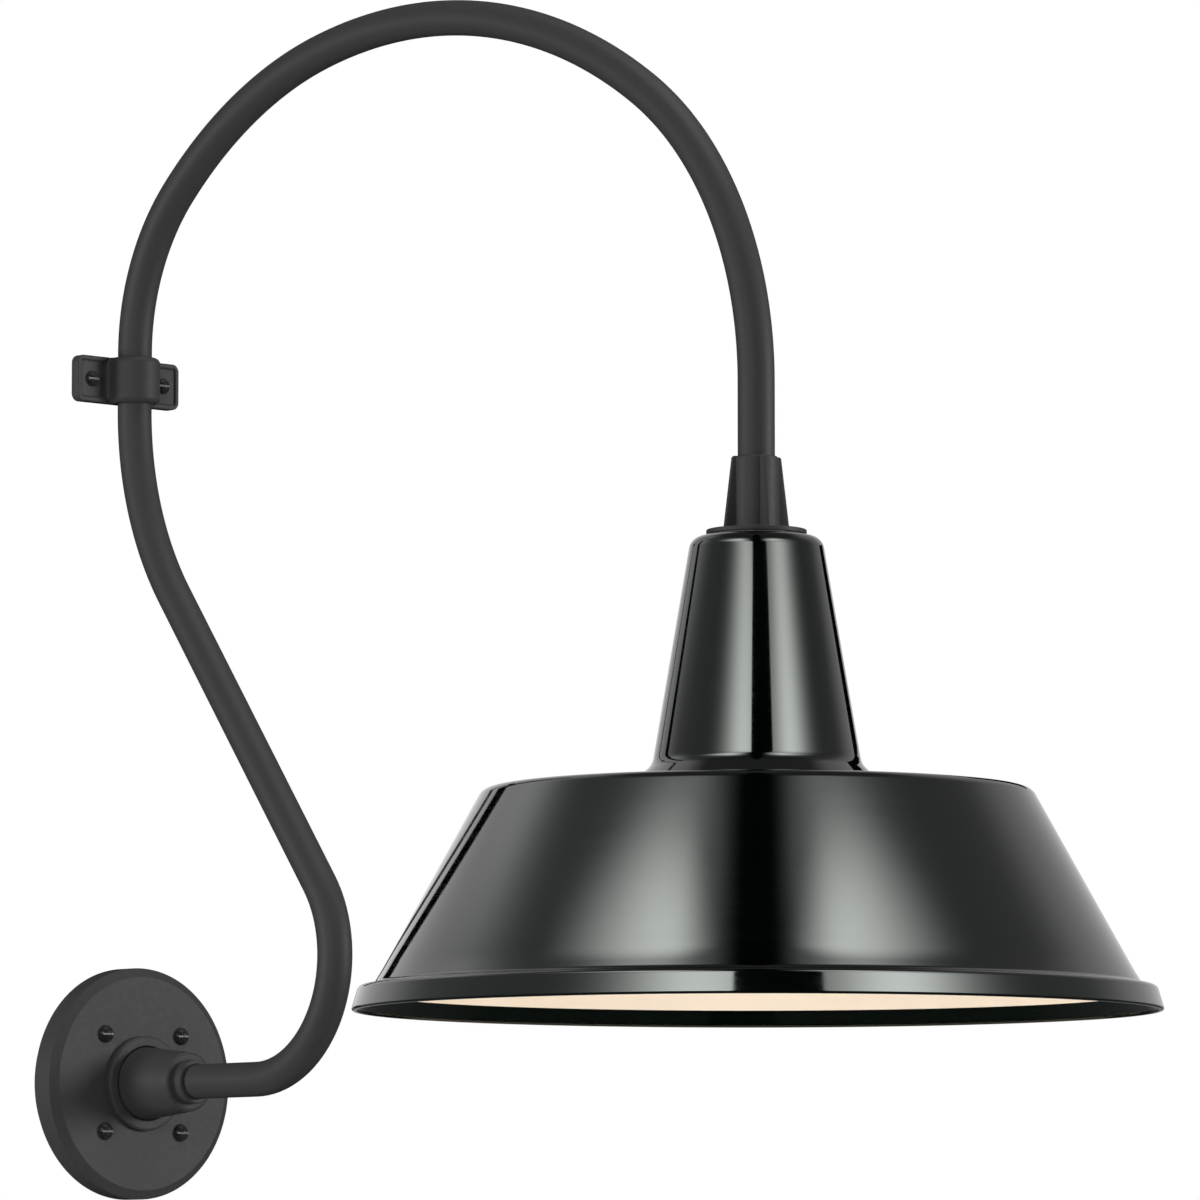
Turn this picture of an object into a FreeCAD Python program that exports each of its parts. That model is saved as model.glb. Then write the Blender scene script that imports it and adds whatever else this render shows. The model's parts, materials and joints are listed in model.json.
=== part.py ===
import FreeCAD, Part
import math
import os

# Barn light: round wall plate, gooseneck arm, wall clamp, spun neck and wide reflector.
# Millimetres, +Z up. The wall is the plane y = 0 and the light reaches toward -Y.
# The origin is the middle of the wall plate's gasket, on the wall.

# Arm path, from the hub outward, up and over
tube_radius = 10.65
tube_wall = 2.0
bend_radius = 73.1
lean_angle = 37.1
rise_length = 232.5
return_radius = 197.9
rise_arch_radius = 132.4
rise_arch_angle = 46.7
shoulder_arch_radius = 287.1
shoulder_arch_angle = 31.4
crown_arch_radius = 374.2
crown_arch_angle = 46.6
fall_arch_radius = 219.6
drop_length = 66.0

# Wall plate and its mounting plate
plate_radius = 71.7
plate_standoff = 7.0
plate_side_depth = 14.2
plate_chamfer_depth = 3.5
plate_chamfer_width = 5.6
plate_front_wall = 5.0
cavity_radius = 57.0
gasket_outer_radius = 66.0
gasket_width = 6.0
gasket_recess = 3.0
mounting_plate_radius = 54.0
mounting_plate_thickness = 2.5
wire_entry_radius = 8.0
wire_entry_height = 32.0
box_screw_spacing = 88.9
box_slot_width = 4.6
box_slot_length = 9.0
plate_screw_offset = 30.0
plate_screw_radius = 2.4
plate_screw_head_radius = 5.6
plate_screw_head_height = 4.8
screw_slot_width = 1.3
screw_slot_depth = 1.8
plate_post_radius = 6.0
plate_post_gap = 1.0
ground_screw_radius = 2.0
ground_screw_head_radius = 4.0
ground_screw_head_height = 2.4
ground_screw_offset = 42.0

# Hub
hub_base_radius = 22.8
hub_face_radius = 18.3
hub_length = 46.0
hub_edge_round = 3.0
hub_collar_radius = 13.6
hub_collar_length = 6.9
hub_collar_round = 1.0
hub_spigot_radius = 12.0
hub_spigot_length = 10.5
hub_wire_bore_radius = 8.0
hub_socket_depth = 30.0
bead_radius = 29.4
bead_height = 4.4
bead_round = 2.0
hub_nut_flats = 34.0
hub_nut_height = 4.5
hub_set_screw_radius = 2.5
hub_set_screw_head_recess = 0.8
bushing_wall = 0.9
bushing_flange_thickness = 1.0
bushing_depth = 8.0

# Wall clamp
clamp_tube_standoff = 12.4
clamp_run = 36.0
clamp_height = 29.0
clamp_half_span = 40.6
clamp_base_thickness = 2.5
clamp_ear_thickness = 2.8
clamp_ear_round = 5.0
clamp_barrel_radius = 15.9
clamp_barrel_chamfer = 3.8
clamp_border_width = 3.0
clamp_border_height = 1.2
clamp_screw_offset = 28.4
clamp_screw_radius = 2.5
clamp_screw_head_radius = 5.1
clamp_screw_head_height = 4.0
clamp_liner_thickness = 0.8
clamp_anchor_offset = 19.0
clamp_anchor_radius = 2.2
clamp_anchor_head_radius = 4.0

# Fitter, disc and shade gasket
fitter_height = 42.0
fitter_body_radius = 12.7
fitter_top_reach = 14.6
fitter_bottom_reach = 19.7
fitter_fin_thickness = 3.4
fitter_fin_count = 4
fitter_fin_angle = 65.3
fitter_grip = 22.5
fitter_top_chamfer = 0.8
fitter_set_screw_radius = 2.0
disc_radius = 28.7
disc_thickness = 2.7
shade_gasket_radius = 27.0
shade_gasket_thickness = 1.0

# Shade neck
sheet_thickness = 1.2
neck_height = 142.4
neck_top_radius = 37.4
neck_top_round = 8.0
neck_foot_radius = 59.5
neck_flare_height = 11.1
neck_flare_width = 11.1
neck_flare_round = 10.0
neck_foot_round = 3.0
neck_flange_width = 9.0

# Reflector
reflector_opening_radius = 50.0
reflector_seat_radius = 82.0
reflector_seat_rise = 2.2
shoulder_radius = 156.1
shoulder_round = 7.5
reflector_cone_height = 111.3
reflector_cone_radius = 217.4
rim_step_width = 8.8
rim_step_drop = 0.8
rim_flare_height = 8.0
rim_flare_width = 0.5
rim_flare_round = 200.0
rim_cove_round = 3.5
rim_step_round = 3.5
rim_band_height = 13.9
rim_band_radius = 230.34
rim_hem_width = 3.2
rim_hem_round = 1.9
rivet_radius = 1.6
rivet_head_radius = 3.2
rivet_head_height = 1.3
rivet_count = 6

# White lining
lining_thickness = 0.8
lining_gap = 0.1
lining_overhang = 4.0
lining_opening_radius = 52.0

# Nipple, lampholder and lamp
nipple_radius = 8.5
nipple_bore_radius = 6.6
nipple_top_reach = 12.0
lock_washer_radius = 12.5
lock_washer_thickness = 1.5
lock_nut_flats = 27.0
lock_nut_height = 5.0
cap_gap = 3.0
cap_radius = 22.0
cap_wall = 1.0
cap_height = 20.0
holder_radius = 20.8
holder_height = 46.0
holder_round = 2.0
shell_thickness = 0.5
shell_depth = 30.0
holder_contact_radius = 4.0
holder_contact_thickness = 1.0
holder_screw_radius = 1.5
holder_screw_head_radius = 2.6
holder_screw_head_height = 1.4
holder_terminal_depth = 7.0
lamp_base_radius = 13.0
lamp_base_length = 27.0
lamp_contact_radius = 4.6
lamp_contact_height = 3.2
lamp_globe_radius = 30.0
lamp_globe_length = 92.0
lamp_glass_thickness = 0.8
lamp_upper_angle = 35.0
lamp_lower_angle = 25.0
lamp_tip_share = 0.5

# Leads and terminal block
lead_radius = 1.5
lead_pitch = 4.5
terminal_block_gap = 1.0
terminal_block_height = 13.0
terminal_block_side_wall = 2.6
terminal_screw_radius = 1.3
terminal_hole_depth = 6.0

# Clearances
slide_clearance = 0.15
thread_clearance = 0.5

# How far a rounded corner may reach along a side, and how small an inner corner may get
corner_reach_share = 0.45
inner_round_share = 0.25
least_edge_share = 1e-7

# Worked out: distances from the wall
plate_back_out = plate_standoff
plate_edge_out = plate_back_out + plate_side_depth
plate_face_out = plate_edge_out + plate_chamfer_depth
cavity_floor_out = plate_face_out - plate_front_wall
hub_face_out = plate_face_out + hub_length
hub_collar_out = hub_face_out + hub_collar_length
tube_start_out = hub_face_out - hub_socket_depth
spigot_end_out = plate_face_out - hub_spigot_length
bushing_back_out = spigot_end_out - bushing_flange_thickness
terminal_block_out = bushing_back_out - terminal_block_gap


def radians(angle):
    """An angle in degrees, in radians."""
    return math.radians(angle)


# Where the lower bend starts, so that the tube runs past the clamp at its standoff
bend_start_out = (
    clamp_tube_standoff
    - bend_radius * math.cos(radians(lean_angle))
    + rise_length * math.sin(radians(lean_angle))
    + return_radius * (1 - math.cos(radians(lean_angle)))
)


def place(side, out, up):
    """A point from its distance sideways, out from the wall and up."""
    return FreeCAD.Vector(side, -out, up)


def advance(position, heading, length):
    """The (out, up) position a straight length further along a heading in degrees."""
    out = position[0] + length * math.cos(radians(heading))
    up = position[1] + length * math.sin(radians(heading))
    return (out, up)


def turn(position, heading, radius, angle):
    """The (out, up) position after an arc; a positive angle turns toward the wall from below."""
    side = math.copysign(90, angle)
    centre = advance(position, heading + side, radius)
    return advance(centre, heading + angle - side, radius)


def arm_stations():
    """Heading and position at the start of each stretch of the arm's centreline."""
    stretches = (
        ("exit", bend_start_out - tube_start_out, None),
        ("bend", bend_radius, 90 + lean_angle),
        ("rise", rise_length, None),
        ("return", return_radius, -lean_angle),
        ("clamp", clamp_run, None),
        ("rise arch", rise_arch_radius, -rise_arch_angle),
        ("shoulder arch", shoulder_arch_radius, -shoulder_arch_angle),
        ("crown arch", crown_arch_radius, -crown_arch_angle),
        ("fall arch", fall_arch_radius, rise_arch_angle + shoulder_arch_angle + crown_arch_angle - 180),
        ("drop", drop_length, None),
    )
    position = (tube_start_out, 0)
    heading = 0
    stations = []
    for name, size, angle in stretches:
        stations.append((name, position, heading, size, angle))
        if angle is None:
            position = advance(position, heading, size)
        else:
            position = turn(position, heading, size, angle)
            heading = heading + angle
    stations.append(("end", position, heading, 0, None))
    return stations


def station(name):
    """The (out, up) position at the start of a named stretch."""
    for label, position, heading, size, angle in arm_stations():
        if label == name:
            return position
    raise ValueError(name)


# Worked out: the shade's axis and the heights on it
shade_out, tube_end_height = station("end")
clamp_start_height = station("clamp")[1]
clamp_middle_height = clamp_start_height + clamp_run / 2
fitter_top_height = tube_end_height + fitter_grip
fitter_bottom_height = fitter_top_height - fitter_height
disc_bottom_height = fitter_bottom_height - disc_thickness
neck_top_height = disc_bottom_height - shade_gasket_thickness
reflector_top_height = neck_top_height - neck_height
reflector_shoulder_height = reflector_top_height - reflector_seat_rise
reflector_cone_foot_height = reflector_shoulder_height - reflector_cone_height
rim_band_top_height = reflector_cone_foot_height - rim_step_drop
rim_height = rim_band_top_height - rim_band_height
neck_underside_height = neck_top_height - sheet_thickness
lock_washer_bottom_height = neck_underside_height - lock_washer_thickness
lock_nut_bottom_height = lock_washer_bottom_height - lock_nut_height
cap_top_height = lock_nut_bottom_height - cap_gap
cap_inside_height = cap_top_height - cap_wall
holder_bottom_height = cap_inside_height - holder_height
nipple_top_height = fitter_bottom_height + nipple_top_reach
shell_inner_radius = lamp_base_radius + thread_clearance
shell_outer_radius = shell_inner_radius + shell_thickness
shell_top_height = holder_bottom_height + shell_depth
contact_bottom_height = shell_top_height - holder_contact_thickness
lamp_base_top_height = contact_bottom_height - lamp_contact_height
lamp_base_bottom_height = lamp_base_top_height - lamp_base_length


def rounded_edges(corners, closed):
    """Edges through (x, y, round) corners, each corner an arc of its own radius."""
    count = len(corners)
    starts = []
    ends = []
    arcs = []
    for index in range(count):
        x, y, radius = corners[index]
        here = FreeCAD.Vector(x, y, 0)
        inner = closed or 0 < index < count - 1
        if not inner or radius <= 0:
            starts.append(here)
            ends.append(here)
            arcs.append(None)
            continue
        before = FreeCAD.Vector(corners[index - 1][0], corners[index - 1][1], 0) - here
        after_corner = corners[(index + 1) % count]
        after = FreeCAD.Vector(after_corner[0], after_corner[1], 0) - here
        half = before.getAngle(after) / 2
        side_limit = corner_reach_share * min(before.Length, after.Length)
        reach = min(radius / math.tan(half), side_limit)
        first = here + before.normalize() * reach
        last = here + after.normalize() * reach
        bisector = (before + after).normalize()
        true_radius = reach * math.tan(half)
        middle = here + bisector * (true_radius / math.sin(half) - true_radius)
        starts.append(first)
        ends.append(last)
        arcs.append(Part.Arc(first, middle, last).toShape())
    edges = []
    stretch_count = count if closed else count - 1
    for index in range(count):
        if arcs[index] is not None:
            edges.append(arcs[index])
        following = (index + 1) % count
        if index < stretch_count:
            gap = (starts[following] - ends[index]).Length
            if gap > least_edge_share * max(starts[following].Length, gap):
                edges.append(Part.makeLine(ends[index], starts[following]))
    return edges


def outline_face(corners):
    """A flat face in the XY plane from rounded corners."""
    wire = Part.Wire(Part.__sortEdges__(rounded_edges(corners, True)))
    return Part.Face(wire)


def offset_chain(corners, distance):
    """The open chain of rounded corners moved sideways, to the left of its direction."""
    moved = []
    count = len(corners)
    for index in range(count):
        x, y, radius = corners[index]
        here = FreeCAD.Vector(x, y, 0)
        back = None
        ahead = None
        if index > 0:
            back = (here - FreeCAD.Vector(corners[index - 1][0], corners[index - 1][1], 0)).normalize()
        if index < count - 1:
            ahead = (FreeCAD.Vector(corners[index + 1][0], corners[index + 1][1], 0) - here).normalize()
        first = back or ahead
        second = ahead or back
        normal_one = FreeCAD.Vector(-first.y, first.x, 0)
        normal_two = FreeCAD.Vector(-second.y, second.x, 0)
        miter = normal_one + normal_two
        scale = distance * 2 / miter.dot(miter)
        there = here + miter * scale
        bend = first.cross(second).z
        new_radius = radius
        if radius > 0:
            new_radius = max(radius - math.copysign(distance, bend), abs(distance) * inner_round_share)
        moved.append((there.x, there.y, new_radius))
    return moved


def turned_up(face, height=0):
    """A section drawn as (radius, height), turned about the shade's upright axis."""
    solid = face.revolve(FreeCAD.Vector(), FreeCAD.Vector(0, 1, 0), 360)
    solid.rotate(FreeCAD.Vector(), FreeCAD.Vector(1, 0, 0), 90)
    solid.translate(place(0, shade_out, height))
    return solid


def turned_out(face):
    """A section drawn as (radius, distance out), turned about the hub's level axis."""
    solid = face.revolve(FreeCAD.Vector(), FreeCAD.Vector(0, 1, 0), 360)
    solid.rotate(FreeCAD.Vector(), FreeCAD.Vector(0, 0, 1), 180)
    return solid


def ring_up(outer, inner, bottom, top):
    """A plain ring on the shade's axis."""
    corners = ((inner, bottom, 0), (outer, bottom, 0), (outer, top, 0), (inner, top, 0))
    return turned_up(outline_face(corners))


def ring_out(outer, inner, near, far):
    """A plain ring on the hub's axis."""
    corners = ((inner, near, 0), (outer, near, 0), (outer, far, 0), (inner, far, 0))
    return turned_out(outline_face(corners))


def rod(start, end, radius):
    """A round rod between two points."""
    direction = end - start
    return Part.makeCylinder(radius, direction.Length, start, direction)


def block(side, out, up):
    """A box from (low, high) pairs sideways, out from the wall and up."""
    corner = FreeCAD.Vector(side[0], -out[1], up[0])
    return Part.makeBox(side[1] - side[0], out[1] - out[0], up[1] - up[0], corner)


def hexagon(flats, height):
    """A six-sided prism standing on the XY plane, by its width across flats."""
    corner_radius = flats / 2 / math.cos(radians(30))
    points = []
    for index in range(7):
        angle = radians(60 * index)
        points.append(FreeCAD.Vector(corner_radius * math.cos(angle), corner_radius * math.sin(angle), 0))
    return Part.Face(Part.makePolygon(points)).extrude(FreeCAD.Vector(0, 0, height))


def dome(head_radius, head_height):
    """A domed head, flat on the XY plane and rising toward +Z."""
    ball_radius = (head_radius ** 2 + head_height ** 2) / (2 * head_height)
    ball = Part.makeSphere(ball_radius, FreeCAD.Vector(0, 0, head_height - ball_radius))
    return Part.makeCylinder(head_radius, head_height).common(ball)


def domed_screw(head_radius, head_height, shank_radius, shank_length):
    """A slotted screw with a domed head, its seat at the origin and its head toward +Z."""
    head = dome(head_radius, head_height)
    slot_box = Part.makeBox(
        4 * head_radius,
        screw_slot_width,
        2 * screw_slot_depth,
        FreeCAD.Vector(-2 * head_radius, -screw_slot_width / 2, head_height - screw_slot_depth),
    )
    shank = Part.makeCylinder(shank_radius, shank_length, FreeCAD.Vector(), FreeCAD.Vector(0, 0, -1))
    return head.cut(slot_box).fuse(shank).removeSplitter()


def facing_out(solid, side, out, up):
    """A piece drawn along +Z, turned to face away from the wall and set in place."""
    copy = solid.copy()
    copy.rotate(FreeCAD.Vector(), FreeCAD.Vector(1, 0, 0), 90)
    copy.translate(place(side, out, up))
    return copy


def plate_screw_places():
    """The four (side, up) places of the wall plate's screws."""
    offset = plate_screw_offset
    return ((-offset, -offset), (-offset, offset), (offset, -offset), (offset, offset))


def wall_plate():
    """Round plate with a chamfered front, a hollow back and four screw posts."""
    corners = (
        (0, cavity_floor_out, 0),
        (cavity_radius, cavity_floor_out, 0),
        (cavity_radius, plate_back_out, 0),
        (plate_radius, plate_back_out, 0),
        (plate_radius, plate_edge_out, 0),
        (plate_radius - plate_chamfer_width, plate_face_out, 0),
        (0, plate_face_out, 0),
    )
    solid = turned_out(outline_face(corners))
    groove_inner = gasket_outer_radius - gasket_width
    groove = ring_out(gasket_outer_radius, groove_inner, 0, plate_back_out + gasket_recess)
    solid = solid.cut(groove)
    post_start_out = mounting_plate_thickness + plate_post_gap
    for side, up in plate_screw_places():
        post = rod(place(side, post_start_out, up), place(side, plate_face_out, up), plate_post_radius)
        solid = solid.fuse(post)
    for side, up in plate_screw_places():
        hole_radius = plate_screw_radius + slide_clearance
        solid = solid.cut(rod(place(side, 0, up), place(side, hub_face_out, up), hole_radius))
    spigot_hole = hub_spigot_radius + slide_clearance
    return solid.cut(rod(place(0, 0, 0), place(0, hub_face_out, 0), spigot_hole)).removeSplitter()


def wall_gasket():
    """Rubber ring that seals the plate to the wall."""
    inner = gasket_outer_radius - gasket_width
    return ring_out(gasket_outer_radius, inner, 0, plate_back_out + gasket_recess)


def box_slot(side):
    """The slot that takes one screw of the outlet box."""
    reach = (box_slot_length - box_slot_width) / 2
    half_width = box_slot_width / 2
    solid = block((side - reach, side + reach), (0, mounting_plate_thickness), (-half_width, half_width))
    for end in (side - reach, side + reach):
        solid = solid.fuse(rod(place(end, 0, 0), place(end, mounting_plate_thickness, 0), half_width))
    return solid


def mounting_plate():
    """Steel plate that screws to the outlet box and takes the four plate screws."""
    solid = ring_out(mounting_plate_radius, 0, 0, mounting_plate_thickness)
    for side, up in plate_screw_places():
        solid = solid.cut(rod(place(side, 0, up), place(side, plate_back_out, up), plate_screw_radius))
    for side in (-box_screw_spacing / 2, box_screw_spacing / 2):
        solid = solid.cut(box_slot(side))
    entry_end = place(0, plate_back_out, wire_entry_height)
    solid = solid.cut(rod(place(0, 0, wire_entry_height), entry_end, wire_entry_radius))
    screw_end = place(0, plate_back_out, -ground_screw_offset)
    return solid.cut(rod(place(0, 0, -ground_screw_offset), screw_end, ground_screw_radius))


def plate_screws():
    """Four domed screws through the wall plate into the mounting plate."""
    reach = plate_face_out
    screw = domed_screw(plate_screw_head_radius, plate_screw_head_height, plate_screw_radius, reach)
    solids = [facing_out(screw, side, reach, up) for side, up in plate_screw_places()]
    return Part.makeCompound(solids)


def ground_screw():
    """Small screw on the mounting plate for the supply's earth wire."""
    length = mounting_plate_thickness
    screw = domed_screw(ground_screw_head_radius, ground_screw_head_height, ground_screw_radius, length)
    return facing_out(screw, 0, mounting_plate_thickness, -ground_screw_offset)


def hub_bead():
    """Rounded trim ring round the foot of the hub."""
    inner = hub_base_radius + slide_clearance
    top = plate_face_out + bead_height
    corners = (
        (inner, plate_face_out, 0),
        (bead_radius, plate_face_out, 0),
        (bead_radius, top, bead_round),
        (inner, top, bead_round / 2),
    )
    return turned_out(outline_face(corners))


def arm_hub():
    """Tapered barrel that grips the tube, with a spigot through the wall plate."""
    socket = tube_radius + slide_clearance
    corners = (
        (hub_wire_bore_radius, spigot_end_out, 0),
        (hub_spigot_radius, spigot_end_out, 0),
        (hub_spigot_radius, plate_face_out, 0),
        (hub_base_radius, plate_face_out, 0),
        (hub_face_radius, hub_face_out, hub_edge_round),
        (hub_collar_radius, hub_face_out, 0),
        (hub_collar_radius, hub_collar_out, hub_collar_round),
        (socket, hub_collar_out, hub_collar_round / 2),
        (socket, tube_start_out, 0),
        (hub_wire_bore_radius, tube_start_out, 0),
    )
    solid = turned_out(outline_face(corners))
    return solid.cut(hub_set_screw_space(0))


def hub_set_screw_space(gap):
    """The radial hole for the set screw, on the hub's underside."""
    out = tube_start_out + hub_socket_depth / 2
    start = place(0, out, -tube_radius - gap)
    return rod(start, place(0, out, -hub_base_radius), hub_set_screw_radius)


def hub_set_screw():
    """Headless screw that pins the tube in the hub."""
    out = tube_start_out + hub_socket_depth / 2
    mid_radius = (hub_base_radius + hub_face_radius) / 2
    end = place(0, out, -mid_radius + hub_set_screw_head_recess)
    return rod(place(0, out, -tube_radius), end, hub_set_screw_radius)


def hub_lock_nut():
    """Six-sided nut that pulls the hub's spigot against the plate."""
    nut = hexagon(hub_nut_flats, hub_nut_height)
    nut = nut.cut(Part.makeCylinder(hub_spigot_radius, hub_nut_height))
    return facing_out(nut, 0, cavity_floor_out - hub_nut_height, 0)


def wall_bushing():
    """Plastic bushing that guards the leads where they enter the hub."""
    outer = hub_wire_bore_radius
    inner = outer - bushing_wall
    flange = hub_spigot_radius
    corners = (
        (inner, bushing_back_out, 0),
        (flange, bushing_back_out, 0),
        (flange, spigot_end_out, 0),
        (outer, spigot_end_out, 0),
        (outer, spigot_end_out + bushing_depth, 0),
        (inner, spigot_end_out + bushing_depth, 0),
    )
    return turned_out(outline_face(corners))


def path_edges(stations, side):
    """Lines and arcs along stretches of the arm, moved sideways."""
    edges = []
    for index in range(len(stations) - 1):
        name, position, heading, size, angle = stations[index]
        following = stations[index + 1][1]
        start = place(side, position[0], position[1])
        end = place(side, following[0], following[1])
        if angle is None:
            edges.append(Part.makeLine(start, end))
        else:
            half = turn(position, heading, size, angle / 2)
            edges.append(Part.Arc(start, place(side, half[0], half[1]), end).toShape())
    return edges


def swept(stations, side, radius):
    """A round solid along the arm's path."""
    path = Part.Wire(path_edges(stations, side))
    out, up = stations[0][1]
    circle = Part.makeCircle(radius, place(side, out, up), FreeCAD.Vector(0, 1, 0))
    return path.makePipeShell([Part.Wire(circle)], True, False)


def gooseneck_arm():
    """Bent steel tube from the hub, past the clamp, over and down to the fitter."""
    outside = swept(arm_stations(), 0, tube_radius)
    inside = swept(arm_stations(), 0, tube_radius - tube_wall)
    return outside.cut(inside)


def lead(side, wall_end_out, lamp_end_height):
    """One insulated lead through the tube, from the terminal block to the lampholder."""
    stations = arm_stations()
    first = stations[0]
    extra = first[1][0] - wall_end_out
    stations[0] = (first[0], (wall_end_out, first[1][1]), first[2], first[3] + extra, None)
    stations[-1] = ("end", (shade_out, lamp_end_height), stations[-1][2], 0, None)
    return swept(stations, side, lead_radius)


def lead_ends():
    """Where the leads end: out from the wall in the block, and their height in the lampholder."""
    return terminal_block_out - terminal_hole_depth, cap_inside_height - holder_terminal_depth


def live_lead():
    """Lead to the lampholder's centre contact."""
    return lead(-lead_pitch, *lead_ends())


def earth_lead():
    """Middle lead, for the metal parts."""
    return lead(0, *lead_ends())


def neutral_lead():
    """Lead to the lampholder's screw shell."""
    return lead(lead_pitch, *lead_ends())


def terminal_block():
    """Three-way block on the mounting plate that joins the leads to the supply."""
    half_width = lead_pitch + lead_radius + terminal_block_side_wall
    half_height = terminal_block_height / 2
    solid = block(
        (-half_width, half_width),
        (mounting_plate_thickness, terminal_block_out),
        (-half_height, half_height),
    )
    for side in (-lead_pitch, 0, lead_pitch):
        hole_end = place(side, terminal_block_out - terminal_hole_depth, 0)
        solid = solid.cut(rod(hole_end, place(side, terminal_block_out, 0), lead_radius))
        out = (mounting_plate_thickness + terminal_block_out) / 2
        low = place(side, out, half_height / 2)
        solid = solid.cut(rod(low, place(side, out, half_height), terminal_screw_radius))
    return solid


def clamp_screw_places():
    """The two sideways places of the clamp's screws."""
    return (-clamp_screw_offset, clamp_screw_offset)


def clamp_tube_space(radius, extra):
    """The upright cylinder of the tube where it passes the clamp."""
    low = clamp_middle_height - clamp_height / 2 - extra
    high = clamp_middle_height + clamp_height / 2 + extra
    return rod(place(0, clamp_tube_standoff, low), place(0, clamp_tube_standoff, high), radius)


def clamp_slab(near, far, inset, round_radius):
    """A rounded upright slab of the clamp's outline, set in from its edge."""
    half_span = clamp_half_span - inset
    half_height = clamp_height / 2 - inset
    corners = (
        (-half_span, -half_height, round_radius),
        (half_span, -half_height, round_radius),
        (half_span, half_height, round_radius),
        (-half_span, half_height, round_radius),
    )
    slab = outline_face(corners).extrude(FreeCAD.Vector(0, 0, far - near))
    return facing_out(slab, 0, near, clamp_middle_height)


def clamp_base():
    """Flat base on the wall, grooved for the tube and tapped for the saddle's screws."""
    solid = clamp_slab(0, clamp_base_thickness, 0, clamp_ear_round)
    solid = solid.cut(clamp_tube_space(tube_radius + slide_clearance, clamp_height))
    for side in clamp_screw_places():
        start = place(side, 0, clamp_middle_height)
        end = place(side, clamp_base_thickness, clamp_middle_height)
        solid = solid.cut(rod(start, end, clamp_screw_radius))
    for side in (-clamp_anchor_offset, clamp_anchor_offset):
        start = place(side, 0, clamp_middle_height)
        end = place(side, clamp_base_thickness, clamp_middle_height)
        solid = solid.cut(rod(start, end, clamp_anchor_radius))
        depth = clamp_anchor_head_radius - clamp_anchor_radius
        sink = Part.makeCone(clamp_anchor_radius, clamp_anchor_head_radius, depth)
        solid = solid.cut(facing_out(sink, side, clamp_base_thickness - depth, clamp_middle_height))
    return solid


def clamp_barrel():
    """The saddle's round middle, chamfered at both ends."""
    low = clamp_middle_height - clamp_height / 2
    high = clamp_middle_height + clamp_height / 2
    corners = (
        (0, low, 0),
        (clamp_barrel_radius - clamp_barrel_chamfer, low, 0),
        (clamp_barrel_radius, low + clamp_barrel_chamfer, 0),
        (clamp_barrel_radius, high - clamp_barrel_chamfer, 0),
        (clamp_barrel_radius - clamp_barrel_chamfer, high, 0),
        (0, high, 0),
    )
    barrel = turned_up(outline_face(corners))
    barrel.translate(place(0, clamp_tube_standoff - shade_out, 0))
    reach = clamp_tube_standoff + clamp_barrel_radius
    front = block((-reach, reach), (clamp_base_thickness, reach), (low, high))
    return barrel.common(front)


def clamp_saddle():
    """Cast saddle with two bordered ears that holds the tube to the base."""
    face_out = clamp_base_thickness + clamp_ear_thickness
    ears = clamp_slab(clamp_base_thickness, face_out, 0, clamp_ear_round)
    border_out = face_out + clamp_border_height
    border = clamp_slab(face_out, border_out, 0, clamp_ear_round)
    inner_round = clamp_ear_round - clamp_border_width / 2
    border = border.cut(clamp_slab(face_out, border_out, clamp_border_width, inner_round))
    solid = ears.fuse(border).fuse(clamp_barrel())
    bore = tube_radius + clamp_liner_thickness
    solid = solid.cut(clamp_tube_space(bore, clamp_height))
    channel = block(
        (-bore, bore),
        (clamp_base_thickness, clamp_tube_standoff),
        (clamp_middle_height - clamp_height, clamp_middle_height + clamp_height),
    )
    solid = solid.cut(channel)
    for side in clamp_screw_places():
        start = place(side, clamp_base_thickness, clamp_middle_height)
        end = place(side, border_out, clamp_middle_height)
        solid = solid.cut(rod(start, end, clamp_screw_radius + slide_clearance))
    return solid.removeSplitter()


def clamp_liner():
    """Thin rubber strip between the tube and the saddle."""
    outer = clamp_tube_space(tube_radius + clamp_liner_thickness, 0)
    liner = outer.cut(clamp_tube_space(tube_radius, clamp_height))
    low = clamp_middle_height - clamp_height / 2
    high = clamp_middle_height + clamp_height / 2
    reach = clamp_tube_standoff + tube_radius + clamp_liner_thickness
    front = block((-reach, reach), (clamp_tube_standoff, reach), (low, high))
    return liner.common(front)


def clamp_screws():
    """Two slotted screws through the saddle's ears into the base."""
    face_out = clamp_base_thickness + clamp_ear_thickness
    screw = domed_screw(clamp_screw_head_radius, clamp_screw_head_height, clamp_screw_radius, face_out)
    solids = [facing_out(screw, side, face_out, clamp_middle_height) for side in clamp_screw_places()]
    return Part.makeCompound(solids)


def fin():
    """One tapering fin of the fitter, drawn toward +X from the shade's axis."""
    points = (
        (0, fitter_bottom_height),
        (fitter_bottom_reach, fitter_bottom_height),
        (fitter_top_reach, fitter_top_height),
        (0, fitter_top_height),
        (0, fitter_bottom_height),
    )
    polygon = Part.makePolygon([FreeCAD.Vector(x, -fitter_fin_thickness / 2, z) for x, z in points])
    solid = Part.Face(polygon).extrude(FreeCAD.Vector(0, fitter_fin_thickness, 0))
    solid.translate(place(0, shade_out, 0))
    return solid


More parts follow.
